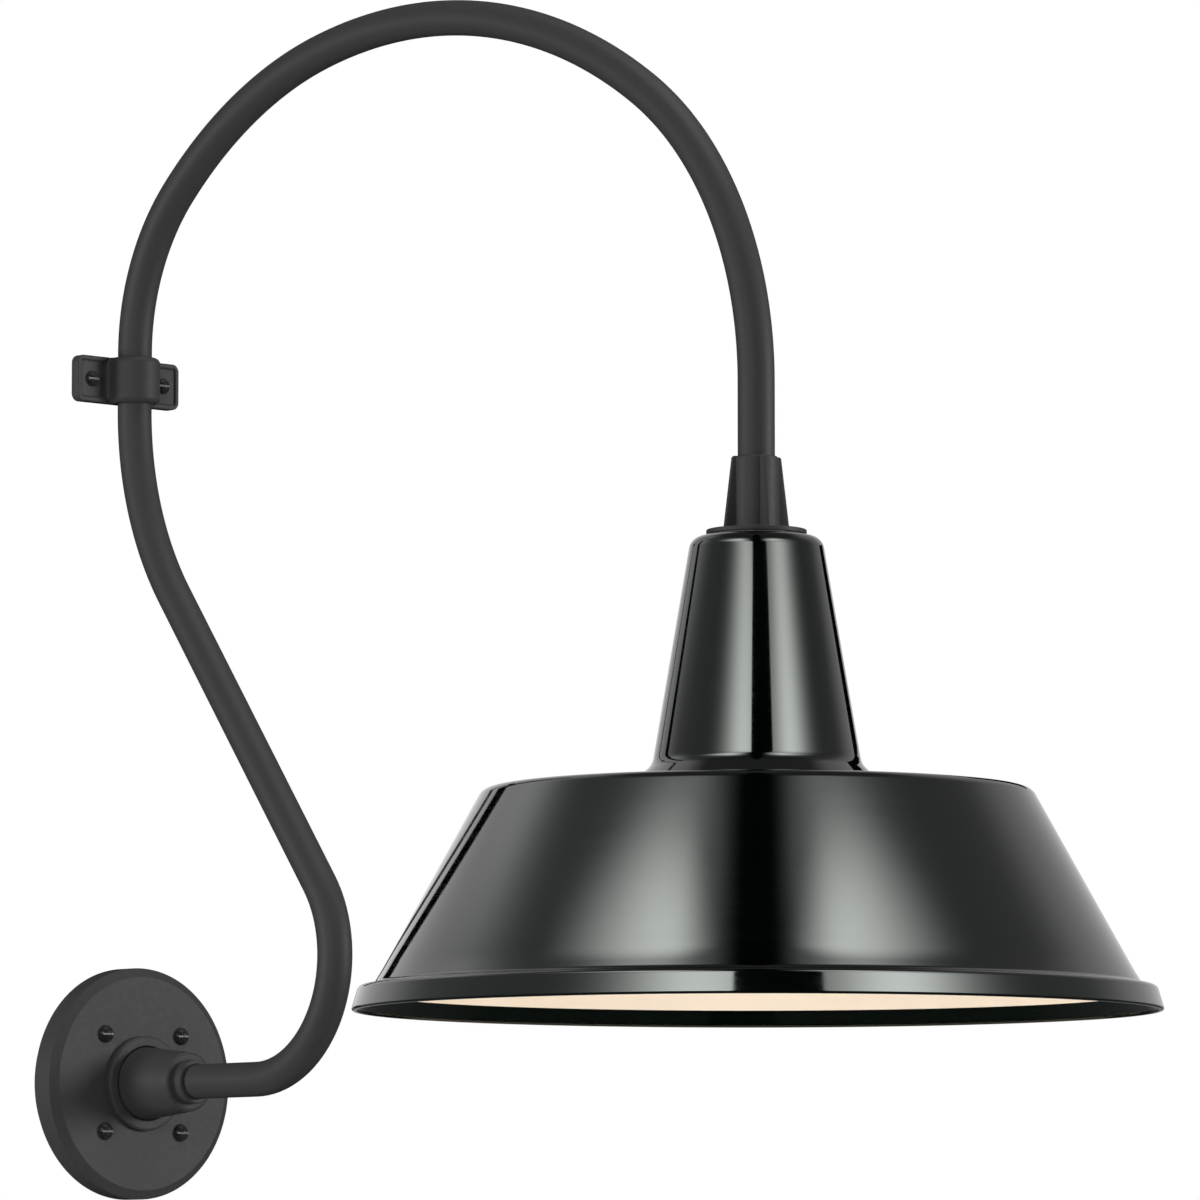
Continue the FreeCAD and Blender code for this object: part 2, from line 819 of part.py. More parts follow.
def fitter():
    """Finned coupling that joins the arm to the shade."""
    corners = (
        (0, fitter_bottom_height, 0),
        (fitter_body_radius, fitter_bottom_height, 0),
        (fitter_body_radius, fitter_top_height, fitter_top_chamfer),
        (0, fitter_top_height, 0),
    )
    solid = turned_up(outline_face(corners))
    axis_foot = place(0, shade_out, 0)
    for index in range(fitter_fin_count):
        blade = fin()
        blade.rotate(axis_foot, FreeCAD.Vector(0, 0, 1), fitter_fin_angle + index * 360 / fitter_fin_count)
        solid = solid.fuse(blade)
    socket = ring_up(tube_radius + slide_clearance, 0, tube_end_height, fitter_top_height)
    thread = ring_up(nipple_radius, 0, fitter_bottom_height, tube_end_height)
    solid = solid.cut(socket).cut(thread)
    return solid.cut(fitter_screw_space(0)).removeSplitter()


def fitter_screw_space(inset):
    """The radial hole of the fitter's set screw, on the side toward the wall."""
    height = tube_end_height + fitter_grip / 2
    start = place(0, shade_out - tube_radius, height)
    end = place(0, shade_out - fitter_body_radius + inset, height)
    return rod(start, end, fitter_set_screw_radius)


def fitter_set_screw():
    """Headless screw that pins the fitter to the tube."""
    return fitter_screw_space(slide_clearance)


def flange_disc():
    """Thin disc between the fitter and the neck."""
    return ring_up(disc_radius, nipple_radius + slide_clearance, disc_bottom_height, fitter_bottom_height)


def shade_gasket():
    """Rubber washer that seals the top of the neck."""
    inner = nipple_radius + slide_clearance
    return ring_up(shade_gasket_radius, inner, neck_top_height, disc_bottom_height)


def neck_chain():
    """The neck's outer line from its top hole to the edge of its foot."""
    flare_top = reflector_top_height + sheet_thickness + neck_flare_height
    flare_foot = reflector_top_height + sheet_thickness
    foot = neck_foot_radius + neck_flare_width
    return (
        (nipple_radius + slide_clearance, neck_top_height, 0),
        (neck_top_radius, neck_top_height, neck_top_round),
        (neck_foot_radius, flare_top, neck_flare_round),
        (foot, flare_foot, neck_foot_round),
        (foot + neck_flange_width, flare_foot, 0),
    )


def sheet(chain, thickness):
    """A turned sheet between a chain and the same chain moved in by its thickness."""
    inner = offset_chain(chain, -thickness)
    corners = list(chain) + list(reversed(inner))
    return turned_up(outline_face(corners))


def rivet_holes(clearance):
    """The upright holes through the neck's flange and the reflector's top."""
    ring = neck_foot_radius + neck_flare_width + neck_flange_width / 2
    solids = []
    for index in range(rivet_count):
        angle = radians(index * 360 / rivet_count + 180 / rivet_count)
        side = ring * math.cos(angle)
        out = shade_out + ring * math.sin(angle)
        low = place(side, out, reflector_top_height - 2 * sheet_thickness)
        high = place(side, out, reflector_top_height + 2 * sheet_thickness)
        solids.append(rod(low, high, rivet_radius + clearance))
    return solids


def shade_neck():
    """Spun cone that carries the reflector and hides the lampholder."""
    solid = sheet(neck_chain(), sheet_thickness)
    for hole in rivet_holes(0):
        solid = solid.cut(hole)
    return solid


def reflector_chain():
    """The reflector's outer line from its opening to the rim."""
    slope = (reflector_cone_radius - shoulder_radius) / reflector_cone_height
    flare_radius = reflector_cone_radius - slope * rim_flare_height
    foot_radius = reflector_cone_radius + rim_flare_width
    return (
        (reflector_opening_radius, reflector_top_height, 0),
        (reflector_seat_radius, reflector_top_height, sheet_thickness),
        (shoulder_radius, reflector_shoulder_height, shoulder_round),
        (flare_radius, reflector_cone_foot_height + rim_flare_height, rim_flare_round),
        (foot_radius, reflector_cone_foot_height, rim_cove_round),
        (reflector_cone_radius + rim_step_width, rim_band_top_height, rim_step_round),
        (rim_band_radius, rim_height, rim_hem_round),
        (rim_band_radius - rim_hem_width, rim_height, 0),
    )


def reflector():
    """Wide spun reflector with a rounded shoulder and a stepped rim."""
    solid = sheet(reflector_chain(), sheet_thickness)
    for hole in rivet_holes(0):
        solid = solid.cut(hole)
    return solid


def shade_rivets():
    """Rivets that hold the neck's flange to the reflector."""
    ring = neck_foot_radius + neck_flare_width + neck_flange_width / 2
    shank_length = 2 * sheet_thickness
    head = dome(rivet_head_radius, rivet_head_height)
    shank = Part.makeCylinder(rivet_radius, shank_length, FreeCAD.Vector(), FreeCAD.Vector(0, 0, -1))
    rivet = head.fuse(shank).removeSplitter()
    solids = []
    for index in range(rivet_count):
        angle = radians(index * 360 / rivet_count + 180 / rivet_count)
        top = reflector_top_height + sheet_thickness
        copy = rivet.copy()
        copy.translate(place(ring * math.cos(angle), shade_out + ring * math.sin(angle), top))
        solids.append(copy)
    return Part.makeCompound(solids)


def white_lining():
    """Thin white inner reflector that follows the inside of the shade."""
    gap = sheet_thickness + lining_gap
    slope = (reflector_cone_radius - shoulder_radius) / reflector_cone_height
    foot = reflector_cone_radius + slope * lining_overhang
    outer = (
        (reflector_opening_radius, reflector_top_height, 0),
        (reflector_seat_radius, reflector_top_height, sheet_thickness),
        (shoulder_radius, reflector_shoulder_height, shoulder_round),
        (foot, reflector_cone_foot_height - lining_overhang, 0),
    )
    chain = offset_chain(outer, -gap)
    chain[0] = (lining_opening_radius, chain[0][1], 0)
    solid = sheet(chain, lining_thickness)
    return solid


def threaded_nipple():
    """Threaded pipe from the fitter to the lampholder's cap; the leads run in it."""
    return ring_up(nipple_radius, nipple_bore_radius, cap_inside_height, nipple_top_height)


def lock_washer():
    """Spring washer under the neck's top."""
    return ring_up(lock_washer_radius, nipple_radius, lock_washer_bottom_height, neck_underside_height)


def lock_nut():
    """Six-sided nut that clamps the neck to the disc."""
    nut = hexagon(lock_nut_flats, lock_nut_height)
    nut = nut.cut(Part.makeCylinder(nipple_radius, lock_nut_height))
    nut.translate(place(0, shade_out, lock_nut_bottom_height))
    return nut


def lampholder_cap():
    """Steel cup on the nipple that holds the porcelain."""
    bottom = cap_top_height - cap_height
    corners = (
        (nipple_radius, cap_inside_height, 0),
        (cap_radius - cap_wall, cap_inside_height, 0),
        (cap_radius - cap_wall, bottom, 0),
        (cap_radius, bottom, 0),
        (cap_radius, cap_top_height, 2 * cap_wall),
        (nipple_radius, cap_top_height, 0),
    )
    solid = turned_up(outline_face(corners))
    for hole in holder_screw_shanks():
        solid = solid.cut(hole)
    return solid


def holder_screw_shanks():
    """The two level shanks that pass the cap and enter the porcelain."""
    height = cap_top_height - cap_height / 2
    shanks = []
    for direction in (-1, 1):
        start = place(direction * (shell_outer_radius + cap_wall), shade_out, height)
        end = place(direction * cap_radius, shade_out, height)
        shanks.append(rod(start, end, holder_screw_radius))
    return shanks


def lampholder_body():
    """Porcelain body with a well for the screw shell."""
    outer = cap_radius - cap_wall
    corners = (
        (0, shell_top_height, 0),
        (shell_outer_radius, shell_top_height, 0),
        (shell_outer_radius, holder_bottom_height, 0),
        (holder_radius, holder_bottom_height, holder_round),
        (outer, cap_top_height - cap_height, 0),
        (outer, cap_inside_height, 0),
        (0, cap_inside_height, 0),
    )
    solid = turned_up(outline_face(corners))
    for side in (-lead_pitch, 0, lead_pitch):
        low = place(side, shade_out, cap_inside_height - holder_terminal_depth)
        high = place(side, shade_out, cap_inside_height)
        solid = solid.cut(rod(low, high, lead_radius))
    for hole in holder_screw_shanks():
        solid = solid.cut(hole)
    return solid


def lampholder_screws():
    """Two small screws that hold the cap to the porcelain."""
    height = cap_top_height - cap_height / 2
    solids = []
    for direction, shank in zip((-1, 1), holder_screw_shanks()):
        head = dome(holder_screw_head_radius, holder_screw_head_height)
        head.rotate(FreeCAD.Vector(), FreeCAD.Vector(0, 1, 0), direction * 90)
        head.translate(place(direction * cap_radius, shade_out, height))
        solids.append(head.fuse(shank).removeSplitter())
    return Part.makeCompound(solids)


def lampholder_shell():
    """Metal screw shell that takes the lamp's base."""
    return ring_up(shell_outer_radius, shell_inner_radius, holder_bottom_height, shell_top_height)


def lampholder_contact():
    """Contact disc at the bottom of the lampholder's well."""
    return ring_up(holder_contact_radius, 0, contact_bottom_height, shell_top_height)


def lamp_contact():
    """Solder contact on the tip of the lamp's base."""
    tip = lamp_contact_radius * lamp_tip_share
    corners = (
        (0, lamp_base_top_height, 0),
        (lamp_contact_radius, lamp_base_top_height, 0),
        (tip, contact_bottom_height, 0),
        (0, contact_bottom_height, 0),
    )
    return turned_up(outline_face(corners))


def lamp_base():
    """Metal screw base of the lamp."""
    return ring_up(lamp_base_radius, 0, lamp_base_bottom_height, lamp_base_top_height)


def globe_edges(inset):
    """The globe's section, set in by a distance: an arc from the bottom, then a line to its mouth."""
    radius = lamp_globe_radius - inset
    centre = lamp_base_bottom_height - lamp_globe_length + lamp_globe_radius
    upper = radians(lamp_upper_angle)
    lower = radians(lamp_lower_angle)
    bottom = FreeCAD.Vector(0, centre - radius, 0)
    flank = FreeCAD.Vector(radius * math.cos(lower), centre - radius * math.sin(lower), 0)
    waist = FreeCAD.Vector(radius * math.cos(upper), centre + radius * math.sin(upper), 0)
    mouth = FreeCAD.Vector(lamp_base_radius - inset, lamp_base_bottom_height, 0)
    return [Part.Arc(bottom, flank, waist).toShape(), Part.makeLine(waist, mouth)], bottom, mouth


def lamp_globe():
    """Glass bulb of the lamp, round below and drawn in to the base."""
    outer, outer_bottom, outer_mouth = globe_edges(0)
    inner, inner_bottom, inner_mouth = globe_edges(lamp_glass_thickness)
    rim = Part.makeLine(outer_mouth, inner_mouth)
    pole = Part.makeLine(inner_bottom, outer_bottom)
    wire = Part.Wire(Part.__sortEdges__(outer + [rim] + inner + [pole]))
    return turned_up(Part.Face(wire))


PIECES = {
    "wall_plate": wall_plate,
    "wall_gasket": wall_gasket,
    "mounting_plate": mounting_plate,
    "plate_screws": plate_screws,
    "ground_screw": ground_screw,
    "terminal_block": terminal_block,
    "hub_bead": hub_bead,
    "arm_hub": arm_hub,
    "hub_lock_nut": hub_lock_nut,
    "hub_set_screw": hub_set_screw,
    "wall_bushing": wall_bushing,
    "gooseneck_arm": gooseneck_arm,
    "live_lead": live_lead,
    "earth_lead": earth_lead,
    "neutral_lead": neutral_lead,
    "clamp_base": clamp_base,
    "clamp_saddle": clamp_saddle,
    "clamp_liner": clamp_liner,
    "clamp_screws": clamp_screws,
    "fitter": fitter,
    "fitter_set_screw": fitter_set_screw,
    "flange_disc": flange_disc,
    "shade_gasket": shade_gasket,
    "shade_neck": shade_neck,
    "reflector": reflector,
    "shade_rivets": shade_rivets,
    "white_lining": white_lining,
    "threaded_nipple": threaded_nipple,
    "lock_washer": lock_washer,
    "lock_nut": lock_nut,
    "lampholder_cap": lampholder_cap,
    "lampholder_body": lampholder_body,
    "lampholder_screws": lampholder_screws,
    "lampholder_shell": lampholder_shell,
    "lampholder_contact": lampholder_contact,
    "lamp_contact": lamp_contact,
    "lamp_base": lamp_base,
    "lamp_globe": lamp_globe,
}

os.makedirs("parts", exist_ok=True)
for node, make in PIECES.items():
    make().exportStep("parts/" + node + ".step")
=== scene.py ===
"""Looks of the barn light: smooth surfaces, finishes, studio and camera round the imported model.

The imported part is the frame. Each new surface sits where its CAD node sits, in metres: the wall is
the plane y = 0, the arm lies in the plane x = 0, and +Z is up. A place is given as its distance out
from the wall, which is -y, and its height.
"""

import json
import logging
import math
from dataclasses import dataclass
from enum import Enum

import bmesh
import bpy
import numpy as np
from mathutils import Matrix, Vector

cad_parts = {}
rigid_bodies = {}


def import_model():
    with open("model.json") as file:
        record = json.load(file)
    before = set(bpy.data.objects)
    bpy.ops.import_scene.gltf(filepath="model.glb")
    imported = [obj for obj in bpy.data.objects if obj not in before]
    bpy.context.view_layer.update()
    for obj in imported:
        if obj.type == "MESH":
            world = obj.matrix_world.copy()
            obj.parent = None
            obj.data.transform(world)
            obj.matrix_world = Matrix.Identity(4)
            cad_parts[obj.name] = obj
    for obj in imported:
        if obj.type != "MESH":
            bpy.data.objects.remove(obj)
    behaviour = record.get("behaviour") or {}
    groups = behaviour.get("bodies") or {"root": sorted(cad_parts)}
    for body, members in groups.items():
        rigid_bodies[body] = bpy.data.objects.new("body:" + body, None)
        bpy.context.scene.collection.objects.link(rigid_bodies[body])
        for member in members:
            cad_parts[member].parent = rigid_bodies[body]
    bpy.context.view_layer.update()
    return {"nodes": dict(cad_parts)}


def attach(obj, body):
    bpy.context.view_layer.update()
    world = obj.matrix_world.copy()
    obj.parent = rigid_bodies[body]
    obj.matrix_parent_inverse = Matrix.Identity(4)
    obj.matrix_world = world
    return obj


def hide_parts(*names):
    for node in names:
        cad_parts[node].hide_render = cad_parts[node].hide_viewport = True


Array = np.ndarray
Thing = bpy.types.Object
Material = bpy.types.Material
Node = bpy.types.Node
Socket = bpy.types.NodeSocket
Tree = bpy.types.NodeTree
Pair = tuple[float, float]
Triple = tuple[float, float, float]
Corners = list[Triple]
Feed = Socket | float | tuple

LOG = logging.getLogger("barn_light")
FIXTURE = "fixture"
LAMP = "lamp"
WHITE = (1.0, 1.0, 1.0, 1.0)
BLACK = (0.0, 0.0, 0.0, 1.0)
UP = np.array([0.0, 0.0, 1.0])
FULL_TURN = 2 * math.pi
SHORTEST = 1e-9
WELD = 1e-7
SHARP_ANGLE = math.radians(38)
ARC_SHARE = 0.49
LONGEST_STRETCH = 0.004
EDGE_SUPPORT = 0.0004


class Axis(Enum):
    """The line that a profile is turned about."""

    SHADE = "the upright axis of the shade"
    HUB = "the level axis of the hub"


class Slot(Enum):
    """The record's material slot names; they are listed but not given to the new pieces."""

    POWDER = "powder_black"
    ENAMEL = "gloss_black"
    LINING = "white_enamel"
    LAMP_METAL = "lamp_metal"
    LAMP_GLASS = "lamp_glass"


# Outlines


def rounded_line(corners: Corners, closed: bool = False, steps: int = 10) -> Array:
    """Points through corners, each corner an arc that touches both of its sides.

    The arc of radius q at a corner of half angle h starts q / tan(h) before the corner.

    Args:
        corners: (x, y, radius) of each corner.
        closed: Whether the last corner joins the first.
        steps: Points on each arc.

    Returns:
        An (n, 2) array of points.
    """
    places = np.array([corner[:2] for corner in corners], float)
    found = []
    for index, (_, _, radius) in enumerate(corners):
        here = places[index]
        if radius <= 0 or (not closed and index in (0, len(corners) - 1)):
            found.append(here[None, :])
            continue
        before = places[index - 1] - here
        after = places[(index + 1) % len(corners)] - here
        lengths = np.linalg.norm(before), np.linalg.norm(after)
        before, after = before / lengths[0], after / lengths[1]
        half = math.acos(np.clip(before @ after, -1, 1)) / 2
        reach = min(radius / math.tan(half), ARC_SHARE * min(lengths))
        true_radius = reach * math.tan(half)
        bisector = (before + after) / np.linalg.norm(before + after)
        centre = here + bisector * true_radius / math.sin(half)
        start, end = here + before * reach - centre, here + after * reach - centre
        share = np.linspace(0, 1, steps)[:, None]
        sweep = math.pi - 2 * half
        arc = np.sin((1 - share) * sweep) * start + np.sin(share * sweep) * end
        found.append(centre + arc / math.sin(sweep))
    return np.concatenate(found)


def supported(points: Array, closed: bool = False) -> Array:
    """The outline with its long stretches divided, and held by a point close to each of their ends.

    Args:
        points: The (n, 2) outline.
        closed: Whether the last point joins the first.

    Returns:
        The outline with more points.
    """
    following = np.roll(points, -1, axis=0) if closed else points[1:]
    found = []
    for start, end in zip(points, following):
        length = float(np.linalg.norm(end - start))
        if length < SHORTEST:
            continue
        parts = math.ceil(length / LONGEST_STRETCH)
        share = np.arange(parts) / parts
        if length > 3 * EDGE_SUPPORT:
            edge = EDGE_SUPPORT / length
            share = np.unique(np.concatenate([share, [edge, 1 - edge]]))
        found.append(start + share[:, None] * (end - start))
    if not closed:
        found.append(points[-1:])
    return np.concatenate(found)


def solid_outline(corners: Corners) -> Array:
    """The closed outline through rounded corners, with its long stretches divided."""
    return supported(rounded_line(corners, closed=True), closed=True)


def walled(outline: Array, thickness: float) -> Array:
    """A closed outline of a sheet: the open outline, and the same line moved aside.

    Each point moves along the normal of the line there, which is its direction turned by a right
    angle.

    Args:
        outline: The open (n, 2) outline of the sheet's outer face.
        thickness: The sheet's thickness; it lies to the right of the outline's direction.

    Returns:
        The closed (2n, 2) outline.
    """
    direction = np.gradient(outline, axis=0)
    direction /= np.linalg.norm(direction, axis=1)[:, None]
    normal = np.stack([direction[:, 1], -direction[:, 0]], axis=1)
    return np.concatenate([outline, (outline + normal * thickness)[::-1]])


def quarter_fall(inset: Array, radius: float) -> Array:
    """How far a quarter circle has fallen at an inset from its crown: q - sqrt(q^2 - i^2)."""
    return radius - np.sqrt(radius**2 - inset**2)


# Meshes


def circle(sides: int) -> Array:
    """The angles of a full circle, as a row that doesn't repeat its first."""
    return np.linspace(0, FULL_TURN, sides, endpoint=False)[None, :]


def upright(radius: Array, angle: Array, level: Array, out: float) -> Array:
    """Points (r cos t, r sin t - out, h) about an upright axis.

    Args:
        radius: Radii, as a grid or a column.
        angle: Angles, as a row.
        level: Heights, as a column.
        out: How far the axis stands out from the wall.

    Returns:
        A (rows, columns, 3) grid.
    """
    side = radius * np.cos(angle)
    away = radius * np.sin(angle) - out
    return np.stack([side, away, np.broadcast_to(level, side.shape)], axis=-1)


def grid_object(
    name: str,
    points: Array,
    wrap_rows: bool = False,
    wrap_columns: bool = True,
    length: float = 1.0,
) -> Thing:
    """A mesh object from a grid of points, with its faces outward and its seams closed.

    Args:
        name: The object's name.
        points: A (rows, columns, 3) grid in the row frame.
        wrap_rows: Whether the last row joins the first.
        wrap_columns: Whether the last column joins the first.
        length: The UV length of one whole run of rows; a run of columns has 1.

    Returns:
        The new object, at the origin.
    """
    rows, columns = points.shape[:2]
    row = np.arange(rows if wrap_rows else rows - 1)[:, None]
    column = np.arange(columns if wrap_columns else columns - 1)[None, :]
    row, column = np.broadcast_arrays(row, column)
    corners = [(row, column), (row, column + 1), (row + 1, column + 1), (row + 1, column)]
    quads = np.stack([(r % rows) * columns + c % columns for r, c in corners], axis=-1)
    quads = quads.reshape(-1, 4)
    across = np.stack([c / row.shape[1] for _, c in corners], axis=-1).reshape(-1, 4)
    along = np.stack([r / row.shape[0] for r, _ in corners], axis=-1).reshape(-1, 4)
    uv = np.stack([across, along * length], axis=-1)
    flat = points.reshape(-1, 3)
    a, b, c, d = (flat[quads[:, k]] - flat.mean(axis=0) for k in range(4))
    volume = np.einsum("ij,ij->", a, np.cross(b, c)) + np.einsum("ij,ij->", a, np.cross(c, d))
    if volume < 0:
        quads, uv = quads[:, ::-1], uv[:, ::-1]
    mesh = bpy.data.meshes.new(name)
    mesh.vertices.add(len(flat))
    mesh.vertices.foreach_set("co", flat.astype(np.float32).ravel())
    mesh.loops.add(quads.size)
    mesh.loops.foreach_set("vertex_index", quads.astype(np.int32).ravel())
    mesh.polygons.add(len(quads))
    mesh.polygons.foreach_set("loop_start", np.arange(len(quads), dtype=np.int32) * 4)
    mesh.update(calc_edges=True)
    layer = mesh.uv_layers.new(name="UVMap")
    layer.data.foreach_set("uv", uv.astype(np.float32).ravel())
    close_seams(mesh)
    mesh.polygons.foreach_set("use_smooth", np.ones(len(mesh.polygons), dtype=bool))
    mesh.set_sharp_from_angle(angle=SHARP_ANGLE)
    thing = bpy.data.objects.new(name, mesh)
    bpy.context.scene.collection.objects.link(thing)
    return thing


def close_seams(mesh: bpy.types.Mesh) -> None:
    """Joins the points of a mesh that fall together, at poles and where two runs meet.

    Args:
        mesh: The mesh.
    """
    work = bmesh.new()
    work.from_mesh(mesh)
    bmesh.ops.remove_doubles(work, verts=work.verts, dist=WELD)
    work.to_mesh(mesh)
    work.free()


def turned(name: str, outline: Array, axis: Axis, shade_out: float, segments: int) -> Thing:
    """A closed outline turned a full circle about an axis.

    On the hub's axis a point (r, h) goes to (r cos t, -h, r sin t), for the angle t.

    Args:
        name: The object's name.
        outline: Closed (n, 2) points of radius and height, or of radius and distance out.
        axis: The axis to turn about.
        shade_out: How far the shade's axis stands out from the wall.
        segments: How many steps the circle has.

    Returns:
        The new object.
    """
    out = shade_out if axis is Axis.SHADE else 0.0
    points = upright(outline[:, :1], circle(segments), outline[:, 1:], out)
    if axis is Axis.HUB:
        points = np.stack([points[..., 0], -points[..., 2], points[..., 1]], axis=-1)
    length = float(np.linalg.norm(np.diff(outline, axis=0), axis=1).sum())
    return grid_object(name, points, wrap_rows=True, length=length)


# Shaders


class Graph:
    """A node tree under construction, with short ways to add its nodes and feed them."""

    def __init__(self, tree: Tree) -> None:
        """Works on a node tree."""
        self.tree = tree

    def feed(self, socket: Socket, value: Feed) -> None:
        """Links a socket to another, or sets its value.

        Args:
            socket: The input to feed.
            value: What feeds it.
        """
        if isinstance(value, Socket):
            self.tree.links.new(value, socket)
        else:
            socket.default_value = value

    def add(self, kind: str, inputs: dict[str | int, Feed], **settings: object) -> Node:
        """Adds a node.

        Args:
            kind: The node's type, without the word that all shader nodes start with.
            inputs: What feeds each input, by the input's name or number.
            settings: The node's plain settings.

        Returns:
            The node.
        """
        made = self.tree.nodes.new(f"ShaderNode{kind}")
        for key, value in settings.items():
            setattr(made, key, value)
        for key, value in inputs.items():
            self.feed(made.inputs[key], value)
        return made

    def math(self, operation: str, *values: Feed) -> Socket:
        """The result of a Math node."""
        return self.add("Math", dict(enumerate(values)), operation=operation).outputs[0]

    def noise(self, vector: Feed, scale: Feed, detail: float, roughness: float) -> Socket:
        """The value of a noise texture."""
        inputs = {"Vector": vector, "Scale": scale, "Detail": detail, "Roughness": roughness}
        return self.add("TexNoise", inputs).outputs["Fac"]

    def span(self, mask: Socket, reach: Pair, to: Pair = (0.0, 1.0), **settings: object) -> Socket:
        """A value that runs between two others as a mask runs along its reach.

        Args:
            mask: The mask.
            reach: Where the mask's run starts and ends.
            to: The value's start and end.
            settings: The node's plain settings.

        Returns:
            The value.
        """
        inputs = {"Value": mask, "From Min": reach[0], "From Max": reach[1]}
        inputs |= {"To Min": to[0], "To Max": to[1]}
        return self.add("MapRange", inputs, **settings).outputs["Result"]

    def coordinates(self, kind: str) -> Socket:
        """The Object or UV output of a Texture Coordinate node."""
        return self.add("TexCoord", {}).outputs[kind]


class Effect(Graph):
    """A node group that several finishes share: named inputs, and masks or heights out."""

    def __init__(self, name: str, values: dict[str, float], outputs: list[str]) -> None:
        """Makes a group with a Vector input.

        Args:
            name: The group's name.
            values: Its other inputs with their default values.
            outputs: The names of the value outputs.
        """
        super().__init__(bpy.data.node_groups.new(name, "ShaderNodeTree"))
        new_socket = self.tree.interface.new_socket
        new_socket(name="Vector", in_out="INPUT", socket_type="NodeSocketVector")
        for label, default in values.items():
            socket = new_socket(name=label, in_out="INPUT", socket_type="NodeSocketFloat")
            socket.default_value = default
        for label in outputs:
            new_socket(name=label, in_out="OUTPUT", socket_type="NodeSocketFloat")
        self.given = self.tree.nodes.new("NodeGroupInput").outputs
        self.results = self.tree.nodes.new("NodeGroupOutput").inputs


def grain_effect() -> Tree:
    """Fine pebbled grain, as of powder coat or moulded plastic: even bumps on a larger swell."""
    effect = Effect("surface grain", {"Size": 0.001}, ["Height", "Grain"])
    swell_scale, swell_height, softness = 0.22, 0.6, 0.2
    here = effect.given["Vector"]
    scale = effect.math("DIVIDE", 1.0, effect.given["Size"])
    wide = effect.math("MULTIPLY", scale, swell_scale)
    fine = effect.noise(here, scale, detail=3.0, roughness=0.6)
    broad = effect.noise(here, wide, detail=2.0, roughness=0.5)
    height = effect.math("MULTIPLY_ADD", broad, swell_height, fine)
    effect.feed(effect.results["Height"], height)
    effect.feed(effect.results["Grain"], effect.math("SMOOTH_MIN", fine, broad, softness))
    return effect.tree


def spun_effect() -> Tree:
    """Spinning lines round a turned sheet: noise that is long round the axis and fine across it.

    The UV's first part is the turn, laid on a small circle so that it meets itself, and the second
    is the length along the profile.
    """
    effect = Effect("spun lines", {"Lines": 900.0, "Reach": 1.2}, ["Height", "Lines"])
    turn, along, _ = effect.add("SeparateXYZ", {0: effect.given["Vector"]}).outputs
    angle = effect.math("MULTIPLY", turn, FULL_TURN)
    reach = effect.given["Reach"]
    ring = {
        0: effect.math("MULTIPLY", effect.math("COSINE", angle), reach),
        1: effect.math("MULTIPLY", effect.math("SINE", angle), reach),
        2: effect.math("MULTIPLY", along, effect.given["Lines"]),
    }
    here = effect.add("CombineXYZ", ring).outputs[0]
    lines = effect.noise(here, scale=1.0, detail=4.0, roughness=0.55)
    for result in effect.results[:2]:
        effect.feed(result, lines)
    return effect.tree


def handling_effect() -> Tree:
    """Faint wipe marks and smudges: broad noise, pressed into a soft mask."""
    effect = Effect("handling marks", {"Size": 0.03}, ["Marks"])
    scale = effect.math("DIVIDE", 1.0, effect.given["Size"])
    broad = effect.noise(effect.given["Vector"], scale, detail=5.0, roughness=0.62)
    marks = effect.span(broad, reach=(0.45, 0.75), interpolation_type="SMOOTHSTEP")
    effect.feed(effect.results["Marks"], marks)
    return effect.tree


class Effects:
    """The shared node groups, built once."""

    def __init__(self) -> None:
        """Builds the groups."""
        self.grain = grain_effect()
        self.spun = spun_effect()
        self.handling = handling_effect()


class Paint(Graph):
    """A material under construction, round its Principled shader."""

    def __init__(self, name: str, **values: Feed) -> None:
        """Makes a material.

        Args:
            name: The material's name.
            values: What feeds the shader's inputs; underscores stand for spaces.
        """
        self.material = bpy.data.materials.new(name)
        self.material.use_nodes = True
        super().__init__(self.material.node_tree)
        self.shader = self.tree.nodes["Principled BSDF"]
        self.shade(**values)

    def shade(self, **values: Feed) -> None:
        """Feeds the shader's inputs; underscores stand for spaces."""
        for key, value in values.items():
            self.feed(self.shader.inputs[key.replace("_", " ")], value)

    def effect(self, group: Tree, kind: str, **values: float) -> dict[str, Socket]:
        """Places a shared effect on Object or UV coordinates; gives its outputs by name."""
        inputs = {"Vector": self.coordinates(kind), **values}
        return dict(self.add("Group", inputs, node_tree=group).outputs.items())

    def blend(self, mask: Socket, low: Triple, high: Triple) -> Socket:
        """A colour between two, by a mask."""
        inputs = {"Factor": mask, "A": (*low, 1.0), "B": (*high, 1.0)}
        return self.add("Mix", inputs, data_type="RGBA").outputs["Result"]

    def bump(self, height: Socket, distance: float, under: Socket | None = None) -> Socket:
        """A Bump node's normal.

        Args:
            height: The height that shows as relief.
            distance: How deep a height of 1 is, in metres.
            under: The normal that the relief lies on, if not the mesh's own.

        Returns:
            The normal.
        """
        inputs = {"Strength": 1.0, "Distance": distance, "Height": height}
        if under is not None:
            inputs["Normal"] = under
        return self.add("Bump", inputs).outputs["Normal"]


# Finishes


